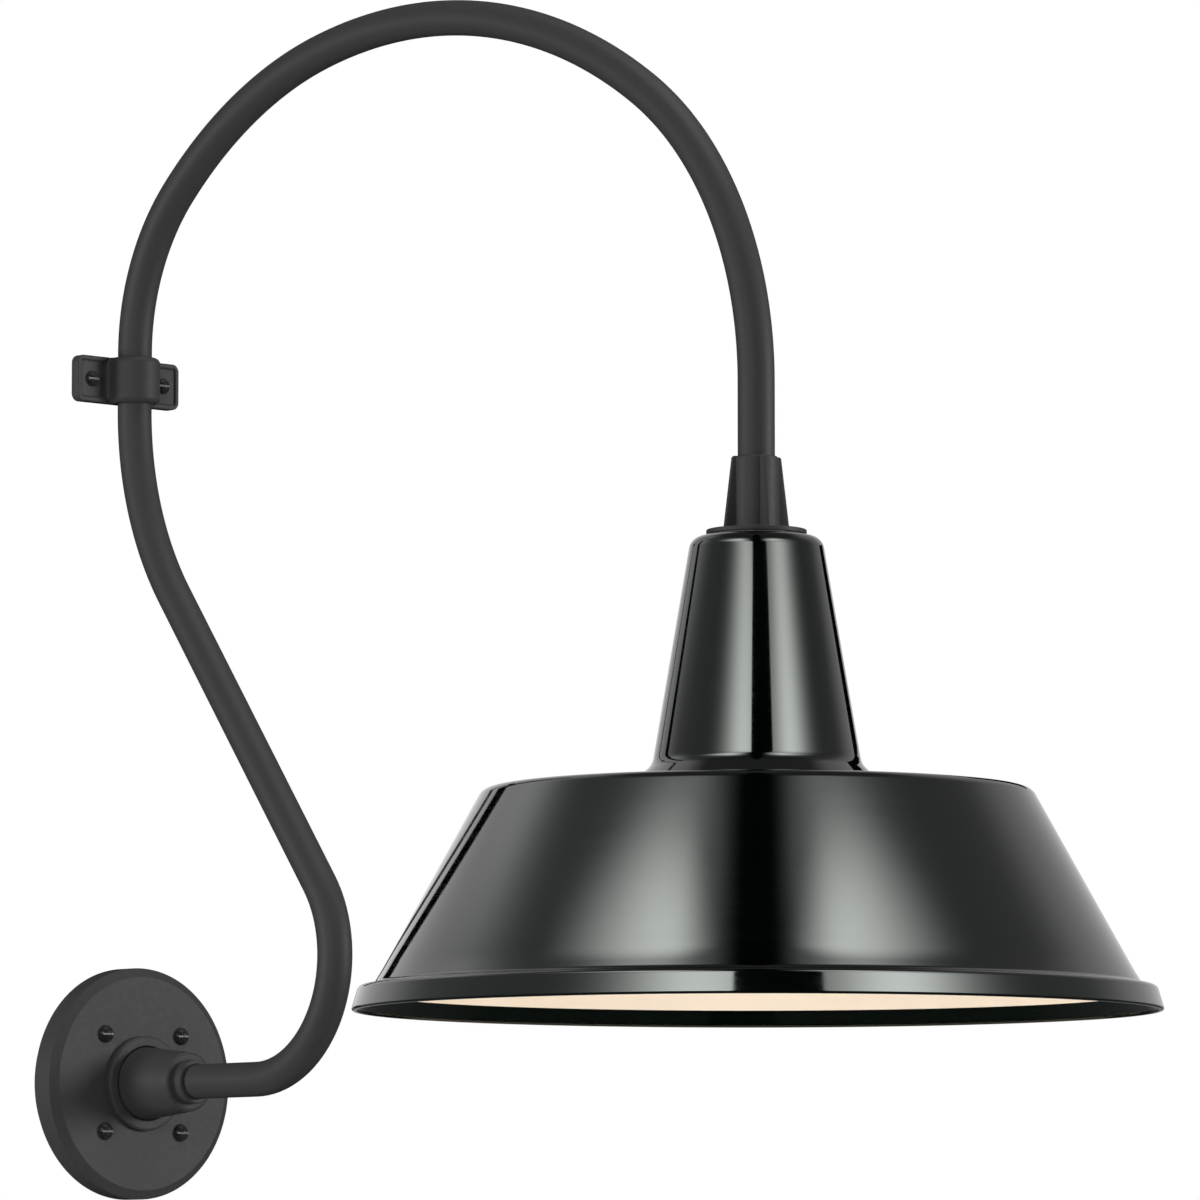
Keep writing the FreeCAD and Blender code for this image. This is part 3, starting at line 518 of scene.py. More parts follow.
@dataclass(frozen=True)
class Grained:
    """A surface with fine grain, whose colour runs with handling marks or else with the grain."""

    name: str
    dark: Triple
    light: Triple
    rough: Pair
    grain: float = 0.001
    depth: float = 0.00001
    marks: float = 0.02
    plain: tuple[tuple[str, float], ...] = ()
    rough_reach: Pair = (0.3, 0.7)

    def build(self, effects: Effects) -> Material:
        """Builds the material.

        Args:
            effects: The shared node groups.

        Returns:
            The material.
        """
        paint = Paint(self.name, **dict(self.plain))
        grain = paint.effect(effects.grain, "Object", Size=self.grain)
        if self.marks:
            marks = paint.effect(effects.handling, "Object", Size=self.marks)
            colour = paint.blend(marks["Marks"], self.light, self.dark)
        else:
            colour = paint.blend(grain["Grain"], self.dark, self.light)
        paint.shade(
            Base_Color=colour,
            Roughness=paint.span(grain["Grain"], self.rough_reach, self.rough),
            Normal=paint.bump(grain["Height"], self.depth),
        )
        return paint.material


@dataclass(frozen=True)
class Moulded(Grained):
    """Moulded rubber, plastic, porcelain or wire insulation: one colour with fine grain."""


@dataclass(frozen=True)
class Metal(Grained):
    """Bare or plated metal with fine grain and faint handling marks."""

    rough: Pair = (0.28, 0.46)
    grain: float = 0.0012
    depth: float = 0.000008
    marks: float = 0.012
    plain: tuple[tuple[str, float], ...] = (("Metallic", 1.0),)


@dataclass(frozen=True)
class PowderCoat(Grained):
    """Black powder coat: a fine pebbled, satin skin."""

    name: str = "black powder coat"
    dark: Triple = (0.025, 0.025, 0.0255)
    light: Triple = (0.034, 0.034, 0.0345)
    rough: Pair = (0.50, 0.62)
    grain: float = 0.0007
    depth: float = 0.00002
    marks: float = 0.0
    plain: tuple[tuple[str, float], ...] = (("Specular_IOR_Level", 0.12),)


@dataclass(frozen=True)
class CreamEnamel(Grained):
    """Warm white enamel of the shade's inside: softly glossy with a fine orange peel."""

    name: str = "cream enamel"
    dark: Triple = (0.90, 0.76, 0.60)
    light: Triple = (0.93, 0.80, 0.65)
    rough: Pair = (0.28, 0.40)
    grain: float = 0.0022
    depth: float = 0.000025
    marks: float = 0.06


@dataclass(frozen=True)
class FrostedGlass(Grained):
    """Frosted lamp glass: it scatters what passes through it."""

    name: str = "frosted glass"
    dark: Triple = (0.97 * 0.96, 0.97 * 0.95, 0.97 * 0.92)
    light: Triple = (0.96, 0.95, 0.92)
    rough: Pair = (0.42, 0.58)
    grain: float = 0.0006
    depth: float = 0.000006
    marks: float = 0.0
    plain: tuple[tuple[str, float], ...] = (("Transmission_Weight", 0.55), ("IOR", 1.45))


@dataclass(frozen=True)
class SpunEnamel:
    """Deep gloss enamel over a spun sheet, whose faint lines show in the reflections."""

    name: str = "gloss enamel"
    dark: Triple = (0.0012, 0.0040, 0.0024)
    light: Triple = (0.0022, 0.0064, 0.0040)
    tint: tuple[float, float, float, float] = (0.935, 1.0, 0.95, 1.0)
    rough: Pair = (0.045, 0.09)
    rough_reach: Pair = (0.35, 0.75)
    lines: float = 700.0
    line_depth: float = 0.000001
    marks: float = 0.05
    marks_share: float = 0.12
    peel: float = 0.0016
    peel_depth: float = 0.0000012
    index: float = 1.5

    def build(self, effects: Effects) -> Material:
        """Builds the material.

        Args:
            effects: The shared node groups.

        Returns:
            The material.
        """
        paint = Paint(self.name, IOR=self.index, Specular_Tint=self.tint)
        spun = paint.effect(effects.spun, "UV", Lines=self.lines)
        marks = paint.effect(effects.handling, "Object", Size=self.marks)
        peel = paint.effect(effects.grain, "Object", Size=self.peel)
        both = paint.math("MULTIPLY_ADD", marks["Marks"], self.marks_share, spun["Lines"])
        under = paint.bump(peel["Height"], self.peel_depth)
        paint.shade(
            Base_Color=paint.blend(spun["Lines"], self.dark, self.light),
            Roughness=paint.span(both, self.rough_reach, self.rough),
            Normal=paint.bump(spun["Height"], self.line_depth, under),
        )
        return paint.material


def grey(level: float) -> Triple:
    """A neutral colour."""
    return (level, level, level)


class Finishes:
    """Every finish of the light, built once from the shared effects."""

    def __init__(self) -> None:
        """Builds the effects and the materials."""
        effects = Effects()
        self.powder = PowderCoat().build(effects)
        self.enamel = SpunEnamel().build(effects)
        self.cream = CreamEnamel().build(effects)
        self.glass = FrostedGlass().build(effects)
        self.screw, self.rubber, self.porcelain, self.nylon, self.live, self.earth, self.neutral = (
            Moulded(*values).build(effects)
            for values in (
                ("gloss screw enamel", grey(0.010), grey(0.016), (0.14, 0.24)),
                ("moulded rubber", grey(0.020), grey(0.034), (0.62, 0.78)),
                ("glazed porcelain", (0.82, 0.81, 0.77), (0.89, 0.88, 0.84), (0.10, 0.18)),
                ("moulded nylon", (0.66, 0.65, 0.60), (0.76, 0.75, 0.71), (0.42, 0.54)),
                ("black insulation", grey(0.016), grey(0.024), (0.3, 0.42)),
                ("green insulation", (0.07, 0.30, 0.09), (0.10, 0.37, 0.12), (0.3, 0.42)),
                ("white insulation", (0.80, 0.80, 0.78), (0.87, 0.87, 0.85), (0.3, 0.42)),
            )
        )
        self.zinc, self.brass, self.lamp_metal = (
            Metal(*values).build(effects)
            for values in (
                ("zinc plate", (0.50, 0.50, 0.49), (0.64, 0.64, 0.62)),
                ("plain brass", (0.66, 0.50, 0.22), (0.80, 0.63, 0.32)),
                ("lamp base metal", (0.70, 0.70, 0.68), (0.82, 0.82, 0.80), (0.22, 0.34)),
            )
        )


def seat(thing: Thing, material: Material, node: str, body: str = FIXTURE) -> None:
    """Finishes a new piece: its material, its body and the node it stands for.

    Args:
        thing: The piece.
        material: Its finish.
        node: The CAD node that it stands for.
        body: The CAD body that it rides on.
    """
    thing.data.materials.append(material)
    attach(thing, body)
    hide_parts(node)
    LOG.info("%s: %d faces", thing.name, len(thing.data.polygons))


# The light's sub-assemblies


@dataclass
class Arm:
    """The bent tube: its path in the plane x = 0, from the hub, past the clamp, over and down."""

    tube_radius: float = 0.01065
    tube_wall: float = 0.002
    start_out: float = 0.0407
    bend_radius: float = 0.0731
    lean: float = 37.1
    rise: float = 0.2325
    return_radius: float = 0.1979
    clamp_standoff: float = 0.0124
    clamp_run: float = 0.036
    arches: tuple[Pair, ...] = ((0.1324, 46.7), (0.2871, 31.4), (0.3742, 46.6))
    fall_radius: float = 0.2196
    drop: float = 0.066
    spacing: float = 0.004
    fewest_points: int = 3
    sides: int = 64

    def stretches(self) -> list[Pair]:
        """Each stretch as its length or radius and the angle that it turns, 0 on a straight."""
        lean = math.radians(self.lean)
        bend_out = (
            self.clamp_standoff
            - self.bend_radius * math.cos(lean)
            + self.rise * math.sin(lean)
            + self.return_radius * (1 - math.cos(lean))
        )
        rest = 180 - sum(angle for _, angle in self.arches)
        return [
            (bend_out - self.start_out, 0.0),
            (self.bend_radius, 90 + self.lean),
            (self.rise, 0.0),
            (self.return_radius, -self.lean),
            (self.clamp_run, 0.0),
            *((radius, -angle) for radius, angle in self.arches),
            (self.fall_radius, -rest),
            (self.drop, 0.0),
        ]

    def path(self) -> tuple[Array, Array]:
        """The centreline as points (out, up) and its heading in radians at each.

        On a straight of heading a the point moves by s (cos a, sin a). On an arc of radius r it
        moves by r (sin(a + t) - sin a, cos a - cos(a + t)), with the signs of a turn to the other
        side.

        Returns:
            The (n, 2) points and the n headings.
        """
        place, heading = np.array([self.start_out, 0.0]), 0.0
        points, headings = [], []
        for size, angle in self.stretches():
            turn = math.radians(angle)
            length = size * abs(turn) if angle else size
            count = max(self.fewest_points, math.ceil(length / self.spacing))
            share = np.linspace(0, 1, count)
            there = heading + turn * share
            if angle:
                moved = np.stack(
                    [np.sin(there) - math.sin(heading), math.cos(heading) - np.cos(there)], axis=1
                )
                moved = math.copysign(size, turn) * moved
            else:
                way = np.array([math.cos(heading), math.sin(heading)])
                moved = size * share[:, None] * way
            points.append(place + moved)
            headings.append(there)
            place, heading = place + moved[-1], heading + turn
        keep = np.concatenate([np.arange(len(run)) > 0 for run in points])
        keep[0] = True
        return np.concatenate(points)[keep], np.concatenate(headings)[keep]

    def end_out(self) -> float:
        """How far out the tube ends, which is where the shade's axis stands."""
        return float(self.path()[0][-1][0])

    def build(self, finish: Material) -> None:
        """Builds the tube: circles across the path, the bore joined to the outside at both ends.

        A point at angle t on a circle of radius r is the path's point + r cos t side + r sin t
        normal.

        Args:
            finish: The tube's finish.
        """
        points, headings = self.path()
        angle = circle(self.sides)
        runs = []
        for radius, order in ((self.tube_radius, 1), (self.tube_radius - self.tube_wall, -1)):
            centre, heading = points[::order], headings[::order]
            side = radius * np.broadcast_to(np.cos(angle), (len(centre), self.sides))
            normal_out = -np.sin(heading)[:, None] * radius * np.sin(angle)
            normal_up = np.cos(heading)[:, None] * radius * np.sin(angle)
            out, up = centre[:, :1] + normal_out, centre[:, 1:] + normal_up
            runs.append(np.stack([side, -out, up], axis=-1))
        tube = grid_object("arm_tube", np.concatenate(runs), wrap_rows=True, length=2.0)
        seat(tube, finish, "gooseneck_arm")


@dataclass
class WallMount:
    """The round wall plate, the bead round the hub's foot and the hub."""

    plate_radius: float = 0.0717
    plate_back: float = 0.007
    plate_edge: float = 0.0212
    plate_face: float = 0.0247
    plate_chamfer: float = 0.0056
    plate_wall: float = 0.005
    cavity_radius: float = 0.057
    groove_outer: float = 0.066
    groove_inner: float = 0.060
    groove_depth: float = 0.003
    edge_round: float = 0.0009
    spigot_radius: float = 0.012
    spigot_end: float = 0.0142
    clearance: float = 0.00015
    bead_radius: float = 0.0294
    bead_height: float = 0.0044
    bead_round: float = 0.002
    hub_base: float = 0.0228
    hub_top: float = 0.0183
    hub_face: float = 0.0707
    hub_round: float = 0.003
    collar_radius: float = 0.0136
    collar_face: float = 0.0776
    collar_round: float = 0.001
    wire_bore: float = 0.008
    tube_start: float = 0.0407
    segments: int = 192

    def plate(self) -> Corners:
        """The plate's corners: face, chamfer, side, gasket groove and hollow back."""
        floor = self.plate_face - self.plate_wall
        groove = self.plate_back + self.groove_depth
        hole = self.spigot_radius + self.clearance
        soft, crisp = self.edge_round, self.edge_round / 3
        return [
            (hole, self.plate_face, crisp),
            (self.plate_radius - self.plate_chamfer, self.plate_face, soft),
            (self.plate_radius, self.plate_edge, soft),
            (self.plate_radius, self.plate_back, soft),
            (self.groove_outer, self.plate_back, crisp),
            (self.groove_outer, groove, 0),
            (self.groove_inner, groove, 0),
            (self.groove_inner, self.plate_back, crisp),
            (self.cavity_radius, self.plate_back, crisp),
            (self.cavity_radius, floor, soft),
            (hole, floor, crisp),
        ]

    def bead(self) -> Corners:
        """The bead's corners: a low ring with a rounded shoulder."""
        inner = self.hub_base + self.clearance
        top = self.plate_face + self.bead_height
        return [
            (inner, self.plate_face, 0),
            (self.bead_radius, self.plate_face, 0),
            (self.bead_radius, top, self.bead_round),
            (inner, top, self.bead_round / 2),
        ]

    def hub(self, tube_radius: float) -> Corners:
        """The hub's corners: spigot, tapered barrel, collar and tube socket.

        Args:
            tube_radius: The radius of the tube that the socket takes.

        Returns:
            The corners, as radius, distance out and rounding.
        """
        socket = tube_radius + self.clearance
        crisp = self.collar_round / 2
        return [
            (self.wire_bore, self.spigot_end, 0),
            (self.spigot_radius, self.spigot_end, crisp),
            (self.spigot_radius, self.plate_face, 0),
            (self.hub_base, self.plate_face, 0),
            (self.hub_top, self.hub_face, self.hub_round),
            (self.collar_radius, self.hub_face, crisp),
            (self.collar_radius, self.collar_face, self.collar_round),
            (socket, self.collar_face, crisp),
            (socket, self.tube_start, 0),
            (self.wire_bore, self.tube_start, 0),
        ]

    def build(self, finish: Material, tube_radius: float) -> None:
        """Turns the three outlines about the hub's axis.

        Args:
            finish: The pieces' finish.
            tube_radius: The radius of the tube that the hub grips.
        """
        for name, node, corners in (
            ("mount_plate", "wall_plate", self.plate()),
            ("mount_bead", "hub_bead", self.bead()),
            ("mount_hub", "arm_hub", self.hub(tube_radius)),
        ):
            piece = turned(name, solid_outline(corners), Axis.HUB, 0.0, self.segments)
            seat(piece, finish, node)


@dataclass
class ClampSaddle:
    """The cast saddle of the wall clamp: two bordered ears and a round middle over the tube."""

    middle: float = 0.44
    height: float = 0.029
    half_span: float = 0.0406
    back: float = 0.0025
    floor: float = 0.0053
    border_height: float = 0.0012
    border_width: float = 0.003
    border_ramp: float = 0.0009
    ear_round: float = 0.005
    edge_round: float = 0.0008
    tube_out: float = 0.0124
    barrel: float = 0.0159
    barrel_end: float = 0.0038
    barrel_end_share: float = 0.98
    fillet: float = 0.0026
    bore: float = 0.01145
    ear_steps: int = 36
    ear_crowding: float = 1.4
    fillet_steps: int = 10
    arc_steps: int = 40
    rows: int = 72
    row_crowding: float = 1.3

    def ear_floor(self, side: Array, up: Array, half_span: Array) -> Array:
        """The front of an ear: a raised border along its edge, eased down to the floor.

        With d the distance to the edge, the border stands where d < width, falls by a smooth step
        over the ramp, and rounds off as a quarter circle where d is less than the edge's radius.

        Args:
            side: Sideways distance from the middle.
            up: Height from the clamp's middle.
            half_span: The ear's reach at that height.

        Returns:
            The distance out from the wall.
        """
        edge = np.minimum(self.height / 2 - np.abs(up), half_span - np.abs(side))
        step = np.clip((edge - self.border_width) / self.border_ramp + 0.5, 0, 1)
        raised = self.border_height * (1 - step * step * (3 - 2 * step))
        inset = np.clip(self.edge_round - edge, 0, self.edge_round)
        return self.floor + raised - quarter_fall(inset, self.edge_round)

    def half(self, up: Array) -> tuple[Array, Array]:
        """The right half of the front, from the ear's back corner to the crown of the barrel.

        Args:
            up: Heights from the middle, as a column.

        Returns:
            Sideways and outward distances, one row for each height.
        """
        corner = np.clip(np.abs(up) - (self.height / 2 - self.ear_round), 0, self.ear_round)
        half_span = self.half_span - quarter_fall(corner, self.ear_round)
        end = np.clip(np.abs(up) - (self.height / 2 - self.barrel_end), 0, self.barrel_end)
        barrel = self.barrel - quarter_fall(self.barrel_end_share * end, self.barrel_end)
        share = np.linspace(0, 1, self.ear_steps)[None, :]
        foot = barrel + self.fillet
        ear_side = half_span + (foot - half_span) * share**self.ear_crowding
        turn = np.linspace(0, math.pi / 2, self.fillet_steps)[None, 1:]
        sweep = np.linspace(0, math.pi / 2, self.arc_steps)[None, :]
        side = [half_span, ear_side, foot - self.fillet * np.sin(turn), barrel * np.cos(sweep)]
        out = [
            self.back + 0 * half_span,
            self.ear_floor(ear_side, up, half_span),
            self.floor + self.fillet * (1 - np.cos(turn)) + 0 * up,
            self.tube_out + barrel * np.sin(sweep),
        ]
        return np.concatenate(side, axis=1), np.concatenate(out, axis=1)

    def inside(self, up: Array, half_span: Array, count: int) -> tuple[Array, Array]:
        """The right half of the back: flat under the ear, then up the channel and over the bore.

        Args:
            up: Heights from the middle, as a column.
            half_span: The ear's reach at each height.
            count: How many points the half has.

        Returns:
            Sideways and outward distances, one row for each height.
        """
        share = np.linspace(0, 1, count - self.arc_steps)[None, :]
        flat_side = half_span + (self.bore - half_span) * share
        sweep = np.linspace(0, math.pi / 2, self.arc_steps)[None, :]
        side = [flat_side, self.bore * np.cos(sweep) + 0 * up]
        out = [self.back + 0 * flat_side, self.tube_out + self.bore * np.sin(sweep) + 0 * up]
        return np.concatenate(side, axis=1), np.concatenate(out, axis=1)

    def build(self, finish: Material) -> None:
        """Builds the saddle: rows of the front, then rows of the back, joined at their ends.

        Args:
            finish: The saddle's finish.
        """
        share = np.linspace(-1, 1, self.rows)
        eased = np.sign(share) * (1 - (1 - np.abs(share)) ** self.row_crowding)
        up = (eased * self.height / 2)[:, None]
        front = self.half(up)
        back = self.inside(up, front[0][:, :1], front[0].shape[1])
        runs = []
        for (across, away), order in ((front, 1), (back, -1)):
            whole_side = np.concatenate([across, -across[:, -2::-1]], axis=1)[::order]
            whole_out = np.concatenate([away, away[:, -2::-1]], axis=1)[::order]
            height = np.broadcast_to(self.middle + up[::order], whole_side.shape)
            runs.append(np.stack([whole_side, -whole_out, height], axis=-1))
        saddle = grid_object(
            "clamp_cover", np.concatenate(runs), wrap_rows=True, wrap_columns=False
        )
        seat(saddle, finish, "clamp_saddle")


@dataclass
class Fitter:
    """The finned coupling on the arm's end and the thin disc under it."""

    shade_out: float
    top: float = 0.3438
    bottom: float = 0.3018
    tube_end: float = 0.3213
    body: float = 0.0127
    top_reach: float = 0.0146
    bottom_reach: float = 0.0197
    fin_half: float = 0.0017
    fin_angle: float = 65.3
    chamfer: float = 0.0008
    socket: float = 0.0108
    nipple: float = 0.0085
    clearance: float = 0.00015
    disc_radius: float = 0.0287
    disc_thickness: float = 0.0027
    disc_round: float = 0.0006
    disc_segments: int = 192
    squareness: float = 9.0
    blend: float = 26.0
    sides: int = 720
    rows: int = 40

    def reach(self, angle: Array, height: Array) -> Array:
        """The coupling's outer radius: a round body joined with two crossed bars.

        A bar of half length a and half width b has the radius
        (|cos t / a|^n + |sin t / b|^n)^(-1/n), and the three radii join as
        (r1^m + r2^m + r3^m)^(1/m), which leaves a small fillet.

        Args:
            angle: Angles about the shade's axis, as a row.
            height: Heights, as a column.

        Returns:
            The radius at each height and angle.
        """
        share = (height - self.bottom) / (self.top - self.bottom)
        length = self.bottom_reach + (self.top_reach - self.bottom_reach) * share
        radii = [self.body + 0 * angle * height]
        for quarter in (0, 90):
            turn = angle - math.radians(self.fin_angle + quarter)
            along = np.abs(np.cos(turn)) / length
            across = np.abs(np.sin(turn)) / self.fin_half
            powers = along**self.squareness + across**self.squareness
            radii.append(powers ** (-1 / self.squareness))
        joined = sum((radius / self.body) ** self.blend for radius in radii)
        return joined ** (1 / self.blend) * self.body

    def build(self, finish: Material) -> None:
        """Builds the coupling as one closed grid, and the disc as a turned ring.

        Args:
            finish: The pieces' finish.
        """
        angle = circle(self.sides)
        height = np.linspace(self.bottom, self.top - self.chamfer, self.rows)[:, None]
        outer = self.reach(angle, height)
        lip = outer[-1:] - self.chamfer
        bores = (self.socket, self.socket, self.nipple, self.nipple)
        radius = np.concatenate([outer, lip, *(np.full_like(lip, bore) for bore in bores)])
        levels = [[self.top], [self.top], [self.tube_end], [self.tube_end], [self.bottom]]
        points = upright(radius, angle, np.concatenate([height, levels]), self.shade_out)
        coupling = grid_object("arm_fitter", points, wrap_rows=True, length=0.1)
        seat(coupling, finish, "fitter")
        hole = self.nipple + self.clearance
        low = self.bottom - self.disc_thickness
        corners = [
            (hole, low, 0),
            (self.disc_radius, low, self.disc_round),
            (self.disc_radius, self.bottom, self.disc_round),
            (hole, self.bottom, 0),
        ]
        outline = solid_outline(corners)
        disc = turned("shade_disc", outline, Axis.SHADE, self.shade_out, self.disc_segments)
        seat(disc, finish, "flange_disc")


@dataclass
class Shade:
    """The spun neck, the wide reflector with its stepped rim, and the white lining."""

    shade_out: float
    sheet: float = 0.0012
    neck_top: float = 0.2981
    neck_hole: float = 0.00865
    neck_top_radius: float = 0.0374
    neck_top_round: float = 0.008
    neck_foot_radius: float = 0.0595
    neck_flare_height: float = 0.0111
    neck_flare_width: float = 0.0111
    neck_flare_round: float = 0.010
    foot_round: float = 0.003
    flange_width: float = 0.009
    neck_segments: int = 256
    top: float = 0.1557
    opening: float = 0.050
    seat_radius: float = 0.082
    seat_rise: float = 0.0022
    seat_round: float = 0.004
    shoulder: float = 0.1561
    shoulder_round: float = 0.0075
    cone_height: float = 0.1113
    cone_radius: float = 0.2174
    step_width: float = 0.0088
    step_drop: float = 0.0008
    flare_height: float = 0.008
    flare_width: float = 0.0005
    flare_round: float = 0.2
    cove_round: float = 0.0035
    step_round: float = 0.0035
    band_height: float = 0.0139
    rim_radius: float = 0.23034
    hem_width: float = 0.0032
    hem_round: float = 0.0019
    lining_sheet: float = 0.0008
    lining_gap: float = 0.0001
    lining_overhang: float = 0.004
    lining_opening: float = 0.052
    arc_steps: int = 16
    segments: int = 384

    def line(self, corners: Corners) -> Array:
        """The open line through some corners, with its long stretches divided."""
        return supported(rounded_line(corners, steps=self.arc_steps))

    def neck(self) -> Array:
        """The neck's outer line, from the hole at its top to the edge of its flange."""
        foot = self.top + self.sheet
        reach = self.neck_foot_radius + self.neck_flare_width
        return self.line(
            [
                (self.neck_hole, self.neck_top, 0),
                (self.neck_top_radius, self.neck_top, self.neck_top_round),
                (self.neck_foot_radius, foot + self.neck_flare_height, self.neck_flare_round),
                (reach, foot, self.foot_round),
                (reach + self.flange_width, foot, 0),
            ]
        )

    def bowl(self) -> Corners:
        """The corners that the reflector and its lining share: opening, seat and shoulder."""
        return [
            (self.opening, self.top, 0),
            (self.seat_radius, self.top, self.seat_round),
            (self.shoulder, self.top - self.seat_rise, self.shoulder_round),
        ]

    def cone(self) -> Pair:
        """The height of the cone's foot, and how far the cone widens over its height."""
        foot = self.top - self.seat_rise - self.cone_height
        return foot, (self.cone_radius - self.shoulder) / self.cone_height

    def reflector(self) -> Array:
        """The reflector's outer line, from its opening over the shoulder to the rim."""
        foot, slope = self.cone()
        band_top = foot - self.step_drop
        rim = band_top - self.band_height
        flare = self.cone_radius - slope * self.flare_height
        return self.line(
            [
                *self.bowl(),
                (flare, foot + self.flare_height, self.flare_round),
                (self.cone_radius + self.flare_width, foot, self.cove_round),
                (self.cone_radius + self.step_width, band_top, self.step_round),
                (self.rim_radius, rim, self.hem_round),
                (self.rim_radius - self.hem_width, rim, 0),
            ]
        )

    def lining(self) -> Array:
        """The lining's outer line: the inside of the bowl, hung a little below its step."""
        foot, slope = self.cone()
        end = self.cone_radius + slope * self.lining_overhang
        outer = self.line([*self.bowl(), (end, foot - self.lining_overhang, 0)])
        line = walled(outer, self.sheet + self.lining_gap)[len(outer) :][::-1]
        line = line[line[:, 0] > self.lining_opening]
        return np.concatenate([[(self.lining_opening, line[0, 1])], line])

    def build(self, enamel: Material, cream: Material) -> None:
        """Turns the three sheets about the shade's axis.

        Args:
            enamel: The finish of the neck and reflector.
            cream: The finish of the lining.
        """
        neck = walled(self.neck(), self.sheet)
        reflector = walled(self.reflector(), self.sheet)
        lining = walled(self.lining(), self.lining_sheet)
        for name, outline, segments, material, node, slot in (
            ("shade_neck_spun", neck, self.neck_segments, enamel, "shade_neck", Slot.ENAMEL),
            ("shade_reflector", reflector, self.segments, enamel, "reflector", Slot.ENAMEL),
            ("shade_lining", lining, self.segments, cream, "white_lining", Slot.LINING),
        ):
            piece = turned(name, outline, Axis.SHADE, self.shade_out, segments)
            seat(piece, material, node)


@dataclass
class Lamp:
    """The screw-in lamp: a threaded base and a frosted globe."""

    shade_out: float
    base_radius: float = 0.013
    base_top: float = 0.2662
    base_bottom: float = 0.2392
    thread_depth: float = 0.0009
    thread_pitch: float = 0.003629
    globe_radius: float = 0.030
    globe_length: float = 0.092
    glass: float = 0.0008
    waist_angle: float = 35.0
    arc_steps: int = 48
    waist_steps: int = 12
    rows: int = 120
    sides: int = 96

    def build_base(self, finish: Material) -> None:
        """Builds the base: the radius falls by a cosine wave that climbs one pitch for each turn.

        At height h and angle t the radius is R - d (1 - cos(2 pi h / pitch - t)) / 2, eased to R at
        both ends, and the grid closes with a point on the axis above and below.

        Args:
            finish: The base's finish.
        """
        angle = circle(self.sides)
        height = np.linspace(self.base_bottom, self.base_top, self.rows)[:, None]
        wave = 0.5 - 0.5 * np.cos(FULL_TURN * height / self.thread_pitch - angle)
        end = np.minimum(height - self.base_bottom, self.base_top - height) / self.thread_pitch
        radius = self.base_radius - self.thread_depth * wave * np.clip(end, 0, 1)
        pole = np.zeros((1, self.sides))
        radius = np.concatenate([pole, radius, pole])
        level = np.concatenate([[[self.base_bottom]], height, [[self.base_top]]])
        points = upright(radius, angle, level, self.shade_out)
        base = grid_object("lamp_screw_base", points, length=0.03)
        seat(base, finish, "lamp_base", LAMP)

    def globe_line(self, inset: float) -> Array:
        """The globe's line: an arc up from the bottom, then a straight to the mouth.

        Args:
            inset: How far the line is set in from the outside.

        Returns:
            The (n, 2) line.
        """
        radius = self.globe_radius - inset
        centre = self.base_bottom - self.globe_length + self.globe_radius
        turn = np.radians(np.linspace(-90, self.waist_angle, self.arc_steps))
        arc = np.stack([radius * np.cos(turn), centre + radius * np.sin(turn)], axis=1)
        mouth = np.array([[self.base_radius - inset, self.base_bottom]])
        share = np.linspace(0, 1, self.waist_steps)[1:, None]
        return np.concatenate([arc, arc[-1:] + share * (mouth - arc[-1:])])

    def build_globe(self, finish: Material) -> None:
        """Turns the globe's outer and inner lines as one outline that ends at two poles.

        Args:
            finish: The glass.
        """
        outline = np.concatenate([self.globe_line(0), self.globe_line(self.glass)[::-1]])
        outline[:, 0] = np.maximum(outline[:, 0], 0)
        angle = circle(self.sides)
        points = upright(outline[:, :1], angle, outline[:, 1:], self.shade_out)
        globe = grid_object("lamp_glass_globe", points, length=0.1)
        seat(globe, finish, "lamp_globe", LAMP)


def paint_carried_nodes(nodes: dict[str, Thing], finishes: Finishes) -> None:
    """Gives every CAD node that stays its finish.

    Args:
        nodes: The frame's nodes by name.
        finishes: The finishes.
    """
    for material, names in (
        (finishes.powder, "clamp_base"),
        (finishes.screw, "plate_screws clamp_screws hub_set_screw fitter_set_screw"),
        (finishes.enamel, "shade_rivets"),
        (finishes.rubber, "wall_gasket clamp_liner shade_gasket"),
        (finishes.zinc, "mounting_plate ground_screw hub_lock_nut threaded_nipple lock_washer"),
        (finishes.zinc, "lock_nut lampholder_cap lampholder_screws"),
        (finishes.porcelain, "lampholder_body"),
        (finishes.nylon, "terminal_block wall_bushing"),
        (finishes.brass, "lampholder_shell lampholder_contact"),
        (finishes.lamp_metal, "lamp_contact"),
        (finishes.live, "live_lead"),
        (finishes.earth, "earth_lead"),
        (finishes.neutral, "neutral_lead"),
    ):
        for name in names.split():
            nodes[name].data.materials.clear()
            nodes[name].data.materials.append(material)
            LOG.info("%s: %s", name, material.name)


# Studio


@dataclass
class Camera:
    """The photograph's viewpoint: a long lens low in front, to the left of the light."""

    place: Triple = (-2.93796, -3.65216, -0.15338)
    azimuth: float = -42.486
    rise: float = 5.575
    lens: float = 225.0
    sensor: float = 36.0
    clip: Pair = (0.1, 60.0)

    def build(self) -> None:
        """Makes the camera and sets it as the scene's."""
        turn, rise = math.radians(self.azimuth), math.radians(self.rise)
        level = math.cos(rise)
        forward = Vector((-math.sin(turn) * level, math.cos(turn) * level, math.sin(rise)))
        data = bpy.data.cameras.new("camera")
        data.sensor_fit = "HORIZONTAL"
        data.sensor_width = self.sensor
        data.lens = self.lens
        data.clip_start, data.clip_end = self.clip
        camera = bpy.data.objects.new("camera", data)
        camera.location = self.place
        camera.rotation_euler = forward.to_track_quat("-Z", "Y").to_euler()
        bpy.context.scene.collection.objects.link(camera)
        bpy.context.scene.camera = camera


